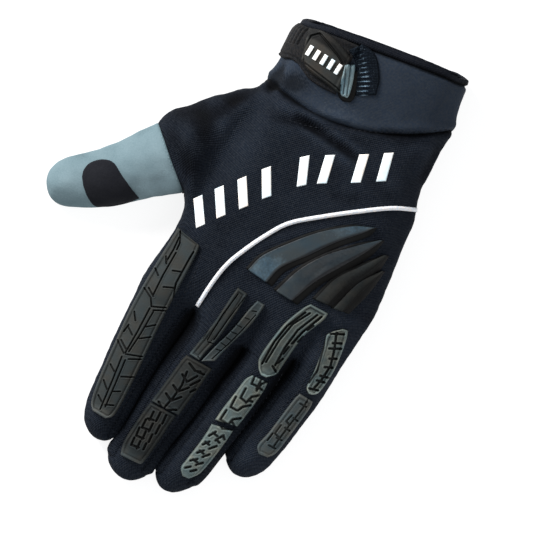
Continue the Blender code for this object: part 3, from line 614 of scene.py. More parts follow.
# painted shade in the crevice between fingers, darkest at the crotch:
# how far in from the seam it starts, and how far it runs towards the tip
CREVICE_IN, CREVICE_RUN = 1.6, 24
between = np.zeros(len(skin), bool)
crotch = np.zeros(len(skin))
for name in PANELS:
    if "fourchette" not in name:
        continue
    side = np.unique(fine[panel == number_of[name]])
    between[side] = True
    deep = 1 - bell(from_seam[side], CREVICE_IN)
    crotch[side] = deep * bell(skin[side, 1] - skin[side, 1].min(), CREVICE_RUN)
push[between] = STRIP_OUT - STRIP_OUT_SEAM * bell(from_seam[between], STRIP_WIDTH)
# painted shade in folds, seams and the seams of the cuff and binding, and painted light on the swells beside folds
shade = 0.5 * np.clip(fold, -1.6, 0.8) - 0.5 * bell(from_seam, 0.6)
shade -= 0.5 * bell(from_cuff_seam, 1.1) + 0.9 * bell(from_binding, 0.7)
# painted shade in the crevices between the fingers, darkest at the crotch and on the sides that face down
shade[between] = -0.2 - crotch[between] - 0.9 * (1 - upper[between])
# patches of painted light and painted shade on the upper side
for x, y, reach, tone in SHADES:
    shade += upper * tone * bell(np.linalg.norm(skin[:, :2] - (x, y), axis=1), reach)
print("tones from", shade.min().round(2), "to", shade.max().round(2))

# %% [markdown]
# ## The glove on the table
# All pushes are made at once, along the normals from before. Whatever would hang below the table is pressed flat, as
# the glove's own weight does it. A cloth simulation would find the same, at a much higher cost.

# %% Push the cloth, and press it flat where it lies
# The upper edge of the opening is pulled back over the lower one, as on a cuff that lies closed.
OVERHANG = 2.2
skin = skin + normal * push[:, None]
skin[:, 1] -= OVERHANG * upper * (1 - from_opening / HEM_REACH) ** 2
skin[:, 2] = np.maximum(skin[:, 2], 0)
normal = point_normals(skin, fine)
print("shell now spans", (skin.max(axis=0) - skin.min(axis=0)).round(1), "mm")


# %% [markdown]
# ## Making finishes
# Every finish here is a small tree of shader nodes. To keep the cells short, one helper makes a material and
# hands back functions that add a node and join two sockets.

# %% A helper for finishes
def finish(name, roughness, **sockets):
    """A material, a function that adds a node, and one that joins an output to the Principled shader.

    A node's inputs are values or other sockets. An input called i0 or i6 is meant by its number.
    """
    material = bpy.data.materials.new(name)
    material.use_nodes = True
    tree = material.node_tree
    shader = tree.nodes["Principled BSDF"]
    shader.inputs["Roughness"].default_value = roughness
    for socket, value in sockets.items():
        shader.inputs[socket.replace("_", " ")].default_value = value

    def add_node(kind, settings=None, **inputs):
        made = tree.nodes.new(kind)
        for key, value in (settings or {}).items():
            setattr(made, key, value)
        for key, value in inputs.items():
            numbered = key[0] == "i" and key[1:].isdigit()
            socket = made.inputs[int(key[1:]) if numbered else key.replace("_", " ")]
            if isinstance(value, bpy.types.NodeSocket):
                tree.links.new(value, socket)
            else:
                socket.default_value = value
        return made

    def join(output, socket):
        tree.links.new(output, shader.inputs[socket])

    return material, add_node, join


def ramp(add_node, factor, *stops):
    """A colour ramp from (place, colour) stops."""
    made = add_node("ShaderNodeValToRGB", Fac=factor)
    points_on = made.color_ramp.elements
    while len(points_on) < len(stops):
        points_on.new(0.5)
    for element, (position, colour) in zip(points_on, stops):
        element.position = position
        element.color = (*colour, 1)
    return made.outputs["Color"]


def maths(add_node, operation, first, second=0.0):
    return add_node("ShaderNodeMath", {"operation": operation}, i0=first, i1=second).outputs[0]


def blend_of(add_node, *terms):
    """The sum of outputs, each times its weight."""
    scaled = [maths(add_node, "MULTIPLY", output, weight) for output, weight in terms]
    total = scaled[0]
    for term in scaled[1:]:
        total = maths(add_node, "ADD", total, term)
    return total


def light_shade_and_tone_of(add_node):
    """The tone that each point of a piece stores, mostly painted light and shade, see tint further down."""
    return add_node("ShaderNodeAttribute", {"attribute_name": "relief"}).outputs["Fac"]


def tinted(add_node, colour, factor, cool, warm):
    """A colour that drifts between a cool and a warm tint, as no dyed cloth or rubber has quite one hue."""
    hue = ramp(add_node, factor, (0.38, cool), (0.62, warm))
    settings = {"data_type": "RGBA", "blend_type": "MULTIPLY"}
    return add_node("ShaderNodeMix", settings, Factor=1.0, i6=colour, i7=hue).outputs[2]


print("helpers for finishes are ready")


# %% [markdown]
# ## Cloth finishes
# The back is a stretch mesh: rows of tiny dimples about 1.3 mm apart, which catch a little light at their rims. Two
# crossed waves make the dimples, and a slow noise keeps the black from looking poured. Neoprene has the same idea at a
# finer pitch under a blue-gray face, and suede has no weave at all, only a nap that is lighter in patches.

# %% Woven and knitted cloth
# cloth hardly mirrors anything
CLOTH_LEVEL = 0.08


def cloth(name, colour, thread, pitch, depth, roughness, sheen, turn):
    """Crossed waves of a pitch in metres, turned by an angle, with a bump of a depth in metres."""
    sheen_of = {"Sheen_Weight": sheen, "Sheen_Roughness": 0.5}
    material, add_node, join = finish(name, roughness, Specular_IOR_Level=CLOTH_LEVEL, **sheen_of)
    where = add_node("ShaderNodeTexCoord").outputs["Object"]
    turned = add_node("ShaderNodeMapping", Vector=where, Rotation=(0, 0, turn)).outputs["Vector"]
    scale = 2 * math.pi / pitch
    apart = add_node("ShaderNodeSeparateXYZ", Vector=turned).outputs
    along = maths(add_node, "SINE", maths(add_node, "MULTIPLY", apart["X"], scale))
    down_and_back = maths(add_node, "ADD", apart["Y"], apart["Z"])
    across = maths(add_node, "SINE", maths(add_node, "MULTIPLY", down_and_back, scale))
    dimple = maths(add_node, "MULTIPLY", along, across)
    fuzz = add_node("ShaderNodeTexNoise", Vector=where, Scale=2600.0, Detail=3.0).outputs["Fac"]
    speck = add_node("ShaderNodeTexNoise", Vector=where, Scale=950.0, Detail=2.0).outputs["Fac"]
    slow = add_node("ShaderNodeTexNoise", Vector=where, Scale=55.0, Detail=4.0).outputs["Fac"]
    height = blend_of(add_node, (dimple, 1.0), (fuzz, 0.9))
    relief = light_shade_and_tone_of(add_node)
    # the stored tone brings in painted light and shade: pale on swells and patches, dark in folds, seams and crevices
    tone = blend_of(add_node, (dimple, 0.12), (fuzz, 0.3), (speck, 0.6), (slow, 0.4), (relief, 0.5))
    shadow = tuple(0.3 * c for c in colour)
    light = tuple(1.5 * c for c in thread)
    shown = ramp(add_node, tone, (0.1, shadow), (0.42, colour), (0.84, thread), (1.0, light))
    join(tinted(add_node, shown, speck, (0.92, 0.98, 1.06), (1.10, 1.01, 0.95)), "Base Color")
    join(add_node("ShaderNodeBump", Height=height, Distance=depth, Strength=0.8).outputs["Normal"], "Normal")
    return material


# %% [markdown]
# ## Suede
# The palm, the sleeve of the thumb and its pad are synthetic suede: a short nap, quite matt, with lighter patches where
# it was brushed. Noise of two sizes does this. Thread gets the same finish with a finer grain.

# %% Suede and thread
def suede(name, colour, light, roughness, grain):
    """A nap of fine grain between two colours, lighter in patches."""
    material, add_node, join = finish(name, roughness, Specular_IOR_Level=CLOTH_LEVEL)
    where = add_node("ShaderNodeTexCoord").outputs["Object"]
    nap = add_node("ShaderNodeTexNoise", Vector=where, Scale=grain, Detail=4.0).outputs["Fac"]
    slow = add_node("ShaderNodeTexNoise", Vector=where, Scale=70.0, Detail=5.0, Roughness=0.6).outputs["Fac"]
    # the stored tone brings in painted light and shade here too
    tone = blend_of(add_node, (nap, 0.35), (slow, 0.65), (light_shade_and_tone_of(add_node), 0.5))
    shadow = tuple(0.6 * c for c in colour)
    bright = tuple(1.5 * c for c in light)
    join(ramp(add_node, tone, (0.05, shadow), (0.35, colour), (0.65, light), (1.0, bright)), "Base Color")
    join(add_node("ShaderNodeBump", Height=nap, Distance=0.00025, Strength=0.6).outputs["Normal"], "Normal")
    return material


# %% [markdown]
# ## The cloths and suedes of this glove
# Black cloth is never black: in the photograph it is a dark blue gray, and the cuff is a navy neoprene. Each finish
# has a dark and a light colour, and the tone decides between them. A table keeps them side by side, so that they can
# be compared.

# %% Finishes of the panels
# name, dark colour, light colour, pitch, depth, roughness, sheen, turn of the weave
CLOTHS = {
    "fabric_black": (
        "stretch_mesh_black", (0.0024, 0.0035, 0.0060), (0.0122, 0.0166, 0.0242), 0.0013, 0.00026, 0.85, 0, 0,
    ),
    "neoprene_navy": (
        "neoprene_navy", (0.0165, 0.0230, 0.0335), (0.0248, 0.0342, 0.0485), 0.0008, 0.00012, 0.75, 0, 0.5,
    ),
    "binding_black": (
        "binding_tape_black", (0.0034, 0.0043, 0.0066), (0.0100, 0.0122, 0.0175), 0.0010, 0.00015, 0.8, 0, 0,
    ),
    "piping_white": (
        "piping_tape_white", (0.66, 0.68, 0.70), (0.84, 0.85, 0.86), 0.0007, 0.00008, 0.7, 0.05, 0,
    ),
    "strap_black": (
        "strap_cloth_black", (0.0045, 0.0048, 0.0054), (0.0150, 0.0150, 0.0155), 0.0009, 0.00012, 0.75, 0, 0.4,
    ),
    "loop_navy": (
        "loop_pile_navy", (0.007, 0.012, 0.019), (0.24, 0.36, 0.47), 0.0010, 0.00040, 0.9, 0, 0.3,
    ),
}
# name, dark colour, light colour, roughness, grain per metre
SUEDES = {
    "palm_black": ("palm_suede_black", (0.006, 0.0065, 0.008), (0.012, 0.013, 0.015), 0.85, 1500),
    "thumb_gray": ("thumb_suede_gray", (0.116, 0.169, 0.188), (0.155, 0.214, 0.235), 0.9, 1500),
    "patch_black": ("patch_suede_black", (0.0065, 0.0070, 0.0095), (0.013, 0.0135, 0.0165), 0.9, 1500),
    "thread_pale": ("thread_pale_gray", (0.20, 0.27, 0.29), (0.28, 0.36, 0.38), 0.8, 3000),
    "thread": ("thread_dark_gray", (0.012, 0.013, 0.017), (0.022, 0.024, 0.030), 0.8, 3000),
}
FINISHES = {key: cloth(*values) for key, values in CLOTHS.items()}
FINISHES.update({key: suede(*values) for key, values in SUEDES.items()})
print("cloth finishes:", len(FINISHES))

# %% [markdown]
# ## Panels from the shell
# Each panel is a closed piece: the shell's faces outside, the same faces one wall further in, and a rim between
# them. The walls matter at the wrist opening, where the cloth's thickness shows.

# %% Making a piece and putting it in the frame
def piece(name, vertices, faces, material, slot, nodes=()):
    """Vertices in millimetres become a piece in metres that rides with the part and stands for its solids."""
    mesh = bpy.data.meshes.new(name)
    mesh.from_pydata(((np.asarray(vertices) - MIDDLE) / 1000).tolist(), [], faces)
    mesh.update()
    mesh.shade_smooth()
    body = bpy.data.objects.new(name, mesh)
    mesh.materials.append(material)
    bpy.context.scene.collection.objects.link(body)
    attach(body, "root")
    if nodes:
        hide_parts(*nodes)
    return body


def tint(body, tone):
    """Stores a tone for each point that a finish paints as light and shade: pale on edges, dark in grooves and folds.

    A piece lists the points of its outer face first and then as many of its inner face, which take the same tones.
    """
    body.data.attributes.new("relief", "FLOAT", "POINT").data.foreach_set("value", np.tile(tone, 2))


def rim_of(faces):
    """Directed edges that only one face uses."""
    ends = np.stack([faces, np.roll(faces, -1, axis=1)], axis=2).reshape(-1, 2)
    code = np.sort(ends, axis=1) @ np.array((faces.max() + 1, 1))
    _, where, count = np.unique(code, return_index=True, return_counts=True)
    return ends[where[count == 1]]


print("pieces are made in metres, about", MIDDLE.round(1), "mm")

# %% [markdown]
# ## The panels of the glove
# A wall is added inside the shell by going back along the normals. The Solidify modifier would do that too, but here
# the thickness differs between panels: the cuff is thick neoprene, and its bound edge is thicker still.

# %% The eight panels
# wall, slot and finish, name in the scene
PANEL_CLOTH = {
    "hand_back": (1.4, "fabric_black", "back_cloth"),
    "palm": (1.6, "palm_black", "palm_cloth"),
    "fourchette_index_middle": (1.4, "fabric_black", "finger_side_1"),
    "fourchette_middle_ring": (1.4, "fabric_black", "finger_side_2"),
    "fourchette_ring_little": (1.4, "fabric_black", "finger_side_3"),
    "thumb": (1.4, "thumb_gray", "thumb_sleeve"),
    "cuff": (2.4, "neoprene_navy", "cuff_sleeve"),
    "cuff_binding": (3.0, "binding_black", "cuff_edge"),
}
for name, (wall, slot, shown) in PANEL_CLOTH.items():
    chosen = fine[panel == number_of[name]]
    used = np.unique(chosen)
    local = np.full(len(skin), -1)
    local[used] = np.arange(len(used))
    outside = local[chosen]
    rim = rim_of(outside)
    count = len(used)
    walls = np.stack([rim[:, 1], rim[:, 0], rim[:, 0] + count, rim[:, 1] + count], axis=1)
    inner = skin[used] - normal[used] * wall
    faces = np.concatenate([outside, outside[:, ::-1] + count, walls])
    body = piece(shown, np.concatenate([skin[used], inner]), faces.tolist(), FINISHES[slot], slot, (name,))
    tint(body, shade[used])
    print(f"{shown}: {len(faces)} faces, wall {wall} mm")


# %% [markdown]
# ## Laying things on the cloth
# Rubber, print and tape follow whatever lies under them. A ray shot straight down from above finds the cloth's height
# at any point of the plan, which is simpler and steadier than a Shrinkwrap modifier for pieces this thin.

# %% Finding the cloth from above
# rays start this high, and where one misses, the nearest cloth to a point at this height is taken
SKY, NEAR_SIDE = 90.0, 9.0
above = BVHTree.FromPolygons([tuple(p) for p in skin], fine.tolist())


def drape(xy):
    """Heights of the cloth under points of the plan, and its normals there."""
    heights = np.zeros(len(xy))
    facing = np.zeros((len(xy), 3))
    for k, (x, y) in enumerate(xy):
        hit, toward, _, _ = above.ray_cast(Vector((x, y, SKY)), Vector((0, 0, -1)))
        if hit is None:
            hit, toward, _, _ = above.find_nearest(Vector((x, y, NEAR_SIDE)))
        heights[k] = hit.z
        facing[k] = toward
    return heights, facing


def spline(table, steps):
    """A smooth curve through the rows of a table, at even steps of its length. Columns may hold anything."""
    rows = np.asarray(table, float)
    padded = np.concatenate([[2 * rows[0] - rows[1]], rows, [2 * rows[-1] - rows[-2]]])
    at = np.linspace(0, len(rows) - 1, 24 * len(rows))
    k = np.minimum(at.astype(int), len(rows) - 2)
    f = (at - k)[:, None]
    p0, p1, p2, p3 = (padded[k + n] for n in range(4))
    bend = 2 * p0 - 5 * p1 + 4 * p2 - p3
    twist = 3 * p1 - p0 - 3 * p2 + p3
    curve = 0.5 * (2 * p1 + (p2 - p0) * f + bend * f**2 + twist * f**3)
    run = np.r_[0, np.cumsum(np.linalg.norm(np.diff(curve[:, :2], axis=0), axis=1))]
    even = np.linspace(0, run[-1], steps)
    return np.stack([np.interp(even, run, curve[:, c]) for c in range(curve.shape[1])], axis=1), run[-1]


print("cloth under the middle of the hand:", drape(np.array([(0.0, 0.0)]))[0].round(2), "mm up")


# %% [markdown]
# ## Grooves
# The tread of the rubber is made of straight grooves. Where two of them cross, the deeper one counts, as in a mould,
# so they aren't added up. A low lip beside each groove catches the light, and a strip also gets painted shade in its
# grooves and a painted highlight on its lips. Boolean cuts would be slower and leave no lips.

# %% Strokes pressed into rubber, or raised from it
# a groove pushes up a lip beside it: share of its depth, distance and width in widths of the groove
LIP, LIP_PLACE, LIP_WIDTH = -0.25, 0.95, 0.35


def carve(xy, strokes):
    """Sum of strokes in the plan: x, y to x, y, width, and height (below zero for a groove)."""
    lift = np.zeros(len(xy))
    lips = np.zeros(len(xy))
    for x0, y0, x1, y1, width, height in strokes:
        apart, _ = from_line(xy, x0, y0, x1, y1)
        stroke = height * np.exp(-((apart / (width / 2)) ** 4))
        lift = np.where(np.abs(stroke) > np.abs(lift), stroke, lift)
        lips = np.maximum(lips, LIP * height * bell(apart / width - LIP_PLACE, LIP_WIDTH))
    return np.where(lift < -0.1, lift, lift + lips)


def closed_sheet(top, bottom, long, wide):
    """Vertices and faces of a closed slab from two grids of points."""
    grid = np.arange(long * wide).reshape(long, wide)
    cells = np.stack([grid[:-1, :-1], grid[:-1, 1:], grid[1:, 1:], grid[1:, :-1]], axis=-1).reshape(-1, 4)
    rim = rim_of(cells)
    walls = np.stack([rim[:, 1], rim[:, 0], rim[:, 0] + len(top), rim[:, 1] + len(top)], axis=1)
    return np.concatenate([top, bottom]), np.concatenate([cells, cells[:, ::-1] + len(top), walls]).tolist()


print("a groove 1 mm deep has lips", -LIP, "mm high")

# %% [markdown]
# ## Strips
# Finger strips, tape, bars and the strap's tab have one thing in common: each is a long slab between a left and a right
# edge that lies on the cloth. So one function makes them all, as a grid of points that is raised by height, crown, rim
# and grooves and rounded off at its border.

# %% A moulded strip between two edges
# width of the raised rim, distance in and width of the moat beside it, reach of the painted reflection at the front end
RIM_WIDTH, MOAT_IN, MOAT_WIDTH, FRONT_REFLECTION_REACH = 0.45, 1.0, 0.35, 3.0
# on a slope a strip is raised more, so that it stays as thick, but only up to this steepness
STEEPEST, THINNEST = 0.7, 0.05


def strip(
    name, rows, height, slot, nodes, strokes=(), *, step=0.3, edge=0.7, crown=0.0, sink=0.5,
    rim=0.0, moat=0.0, tone=0.0, front_reflection=0.0, shade=None,
):
    """Rows give left x, y and right x, y. The strip gets a rounded edge and, where asked, a crown across, strokes, a
    raised rim with a moat inside it, and tones: one for all of it, a painted reflection at its front end, and a
    function of both ways that takes the place of the rim's painted highlight and the moat's painted shade. Its grooves
    get painted shade and their lips a painted highlight.
    """
    middles = [((r[0] + r[2]) / 2, (r[1] + r[3]) / 2, *r[:4]) for r in rows]
    long = max(4, int(spline(middles, 2)[1] / step))
    edges, length = spline(middles, long)
    left, right = edges[:, 2:4], edges[:, 4:6]
    width = np.linalg.norm(right - left, axis=1)[:, None]
    wide = max(4, int(width.max() / step))
    across = np.linspace(0, 1, wide)[None]
    xy = (left[:, None] + (right - left)[:, None] * across[..., None]).reshape(-1, 2)
    along = np.linspace(0, length, long)[:, None]
    inside = np.minimum(np.minimum(across, 1 - across) * width, np.minimum(along, length - along)).ravel()
    rounding = np.clip(inside / edge, 0, 1)
    strokes_here = carve(xy, strokes)
    border = rim * bell(inside - edge, RIM_WIDTH) - moat * bell(inside - edge - MOAT_IN, MOAT_WIDTH)
    bulge = crown * (1 - (2 * across - 1) ** 2) * np.ones((long, 1))
    lift = (height + strokes_here + border + bulge.ravel()) * np.sqrt(rounding * (2 - rounding))
    heights, facing = drape(xy)
    steep = 1 / np.clip(facing[:, 2], STEEPEST, 1)
    top = np.column_stack([xy, heights + np.maximum(lift, THINNEST) * steep])
    bottom = np.column_stack([xy, heights - sink])
    body = piece(name, *closed_sheet(top, bottom, long, wide), FINISHES[slot], slot, nodes)
    # painted light and shade: pale rim and lips, dark moat and grooves, or the shade function; a painted reflection
    # ahead
    painted_light_and_shade = border if shade is None else shade(along / length, across).ravel()
    ahead = front_reflection * bell(length - along, FRONT_REFLECTION_REACH) * np.ones_like(across)
    tint(body, tone + strokes_here + painted_light_and_shade + ahead.ravel())
    print(f"{name}: {length:.0f} mm long, {width.max():.1f} mm wide, {len(body.data.polygons)} faces")
    return body


# %% [markdown]
# ## Rubber and print
# The finger strips are soft rubber, matt and slightly pitted from the mould. Their raised edges get a painted highlight
# and their grooves painted shade, which the stored tone tells the finish. The blades behind the knuckles are a smoother
# film over foam, which shows the window light, so their roughness is lower and their colour bluer.

# %% Rubber and print
def rubber(name, dark, colour, pale, roughness, level, pits):
    """Painted highlight where the tone is high, painted shade where low; clouds, specks and pits from the mould."""
    material, add_node, join = finish(name, roughness, Specular_IOR_Level=level)
    where = add_node("ShaderNodeTexCoord").outputs["Object"]
    grain = add_node("ShaderNodeTexNoise", Vector=where, Scale=900.0, Detail=3.0).outputs["Fac"]
    slow = add_node("ShaderNodeTexNoise", Vector=where, Scale=130.0, Detail=4.0, Roughness=0.6).outputs["Fac"]
    relief = light_shade_and_tone_of(add_node)
    cloud = maths(add_node, "MULTIPLY", maths(add_node, "SUBTRACT", slow, 0.5), 0.25)
    speck = maths(add_node, "MULTIPLY", maths(add_node, "SUBTRACT", grain, 0.5), 0.15)
    level_at = maths(add_node, "ADD", maths(add_node, "MULTIPLY", relief, 0.5), 0.5)
    tone = maths(add_node, "ADD", level_at, maths(add_node, "ADD", cloud, speck))
    shown = ramp(add_node, tone, (0.12, dark), (0.46, colour), (0.54, colour), (0.95, pale))
    join(tinted(add_node, shown, slow, (0.88, 1.02, 1.07), (1.13, 1.01, 0.90)), "Base Color")
    join(maths(add_node, "ADD", maths(add_node, "MULTIPLY", slow, 0.25), roughness - 0.12), "Roughness")
    join(add_node("ShaderNodeBump", Height=grain, Distance=pits, Strength=0.6).outputs["Normal"], "Normal")
    return material


# %% [markdown]
# ## The rubbers of this glove
# Most finger strips are a dark olive rubber, and those of the ring finger are a gray green. The tab is a warm black,
# and the print is white. They differ in numbers only, so they share the helper and stand in one table.

# %% Finishes of rubber and print
# name, painted shade in grooves, colour of the face, painted highlight on raised edges, roughness, how much it mirrors,
# depth of pits
RUBBERS = {
    "rubber_dark": (
        "rubber_dark_olive", (0.002, 0.002, 0.002), (0.023, 0.026, 0.026), (0.062, 0.072, 0.074), 0.68, 0.14, 0.00012,
    ),
    "rubber_ring": (
        "rubber_gray_green", (0.003, 0.004, 0.004), (0.095, 0.115, 0.11), (0.27, 0.32, 0.30), 0.62, 0.18, 0.00012,
    ),
    "blade_blue": (
        "blade_film_blue", (0.004, 0.005, 0.007), (0.025, 0.036, 0.044), (0.13, 0.25, 0.36), 0.45, 0.25, 0.00004,
    ),
    "white_print": ("print_white", (0.6, 0.6, 0.6), (0.84, 0.85, 0.86), (0.88, 0.89, 0.9), 0.6, 0.4, 0.00012),
    "tab_rubber": (
        "tab_rubber_black", (0.003, 0.003, 0.003), (0.025, 0.024, 0.022), (0.066, 0.065, 0.062), 0.65, 0.15, 0.00012,
    ),
    "grip_gray": ("grip_rubber_blue", (0.03, 0.04, 0.05), (0.15, 0.22, 0.25), (0.45, 0.55, 0.60), 0.6, 0.3, 0.00012),
}
FINISHES.update({key: rubber(*values) for key, values in RUBBERS.items()})
print("finishes:", len(FINISHES))

# %% [markdown]
# ## The white line
# A narrow white tape runs in a curve from the crotch of the index finger to the outer edge of the hand, beside the
# blades. On the real glove it is piping sewn into a seam. A strip with a high crown gives the same round look.

# %% The white tape over the back
PIPING = (
    (14.3, 34.2),
    (12.9, 20.5),
    (10.7, 10),
    (6.4, 0),
    (1, -10),
    (-6, -20),
    (-18.5, -30),
    (-32.5, -40),
    (-45, -48.2),
    (-56.4, -53.4),
)
TAPE_WIDTH = 2.0
line, _ = spline(PIPING, 40)
run = np.gradient(line, axis=0)
side = np.stack([-run[:, 1], run[:, 0]], axis=1) / np.linalg.norm(run, axis=1, keepdims=True)
tape = np.concatenate([line - side * TAPE_WIDTH / 2, line + side * TAPE_WIDTH / 2], axis=1)
strip("white_tape", tape, 0.25, "piping_white", ("piping",), crown=0.9, edge=0.4)

# %% [markdown]
# ## Strips on the fingers
# Each finger's rubber is moulded in one go with its tread. The tread's lines were read off the photograph as short
# strokes from one point to another, because no two blocks are alike. The grooves are 0.9 mm deep.

# %% Outlines of everything moulded
# rows of left x and y, right x and y
PIECES = {
    "index_armour": (
        (27.5, 8.2, 39, 5.5),
        (25.6, 12, 39.4, 10),
        (25.7, 44, 41.5, 44),
        (25, 66, 40.7, 66),
        (24.5, 84, 39.6, 84),
        (25, 96.5, 37.8, 96),
        (28, 100.3, 35, 100),
    ),
    "middle_armour_left": (
        (-13.6, 18.8, -9.6, 18.6),
        (-13, 25, -7.9, 24),
        (-11.2, 33, -6, 33),
        (-8.8, 40, -4, 40),
        (-7, 45.5, -2.2, 45),
        (-5.2, 51.5, 0.4, 54.4),
    ),
    "middle_armour_right": (
        (-4, 18, 1.3, 17.4),
        (-3.8, 24, 2.2, 23.6),
        (-2.6, 35, 3.4, 35),
        (-1.4, 43, 4.8, 43),
        (0.8, 51.5, 6.4, 51),
        (1.4, 54.6, 7, 54.2),
    ),
    "middle_armour_mid": (
        (-5.2, 58.4, 8.4, 58),
        (-5, 61, 9.2, 60.6),
        (-4, 68, 10.3, 68),
        (-2.5, 77, 11.8, 77),
        (-1.8, 82.4, 12.7, 82.4),
    ),
    "middle_armour_tip": (
        (-0.7, 84.6, 13, 84.6),
        (-0.1, 88, 13.6, 88),
        (1, 98, 14.9, 98),
        (2, 106, 15.4, 106),
        (3.2, 110.6, 14.2, 111),
    ),
    "ring_armour_low": (
        (-41.5, 8.8, -32.2, 8.6),
        (-40.8, 13, -29.6, 12.6),
        (-36.2, 24, -25.2, 23.6),
        (-34, 40, -22.6, 40),
        (-33.2, 45, -24, 45.6),
        (-29.6, 48.6, -27, 48.8),
    ),
    "ring_armour_mid": (
        (-31.4, 50.4, -23.4, 50.6),
        (-31.6, 54, -21.4, 54),
        (-30.7, 62, -20, 62),
        (-29.4, 70, -18.5, 70),
        (-28.4, 75.2, -17.6, 77.2),
    ),
    "ring_armour_tip": (
        (-27.6, 77.6, -17.1, 79.6),
        (-27, 83, -16.9, 84),
        (-25.8, 91, -16, 91),
        (-24, 99.6, -14.4, 99.8),
        (-22.4, 104, -13.8, 104.2),
        (-19.4, 107.4, -16.2, 107.6),
    ),
    "little_armour_low": (
        (-53.4, 11.6, -50.8, 12),
        (-54.8, 16, -45.6, 17.6),
        (-56, 24, -46.6, 24),
        (-56.4, 32, -48, 34),
        (-55, 43, -48.4, 43.4),
        (-52.4, 46, -50.6, 46.2),
    ),
    "little_armour_tip": (
        (-54.2, 48.6, -47, 48),
        (-54.4, 53, -45.6, 53),
        (-51.8, 70, -42.8, 70),
        (-50.2, 78, -40.8, 78.4),
        (-47.6, 81.6, -43, 82),
    ),
    "blade_1": (
        (-42.5, -36.6, -41, -36),
        (-38.6, -31.6, -32.6, -32.4),
        (-29.2, -21.6, -20.4, -23),
        (-20.8, -10.6, -10.2, -12),
        (-12.4, 0, -1.8, -1),
        (-9.6, 9.4, 1.2, 8),
    ),
    "blade_2": (
        (-48.4, -33, -47, -32.6),
        (-43.8, -24, -38.4, -25.2),
        (-36.6, -12.6, -27.2, -14.2),
        (-29.4, -1.4, -19.6, -2.6),
        (-24, 11.6, -14.8, 10.8),
    ),
    "blade_3": (
        (-53.6, -27.8, -52, -27.4),
        (-50, -17, -44.6, -18),
        (-44, -6, -36.8, -7.2),
        (-40, 5.4, -32.6, 6),
    ),
    "blade_4": (
        (-55.4, -20.6, -54.2, -20.2),
        (-51.6, -9, -47, -10),
        (-47.4, 5, -42.2, 5.8),
    ),
    "thumb_patch": (
        (67, 2.6, 80, -6),
        (70, 6.6, 84.6, -6.2),
        (74, 10.2, 88.4, -1.6),
        (78, 11.8, 89.6, 3),
        (82, 11.6, 88.6, 7),
        (84.6, 10.6, 87, 9.2),
    ),
    "loop_patch": (
        (-6, -107, 1.4, -107),
        (-9.5, -103, 1.4, -103),
        (-12.2, -97, 1.4, -97),
        (-13, -89.6, 1.4, -87.4),
    ),
    "strap_tab": (
        (7.5, -101, 22, -104.2),
        (4.4, -97.4, 27.6, -102.6),
        (3.4, -92, 26.2, -93),
        (2.6, -86.2, 20.6, -87.6),
    ),
    "tab_grip": (
        (-0.2, -99.4, 3.6, -98.2),
        (-2.6, -92, 2.6, -91.6),
        (-3, -85.4, 1.9, -85.6),
    ),
}
print("outlines:", len(PIECES))

# %% [markdown]
# ## The tread
# Long grooves run down each finger, and short ones cut the space between them into blocks. The strokes follow their
# main lines in the photograph. They are kept apart from the outlines, so that either can be changed alone.

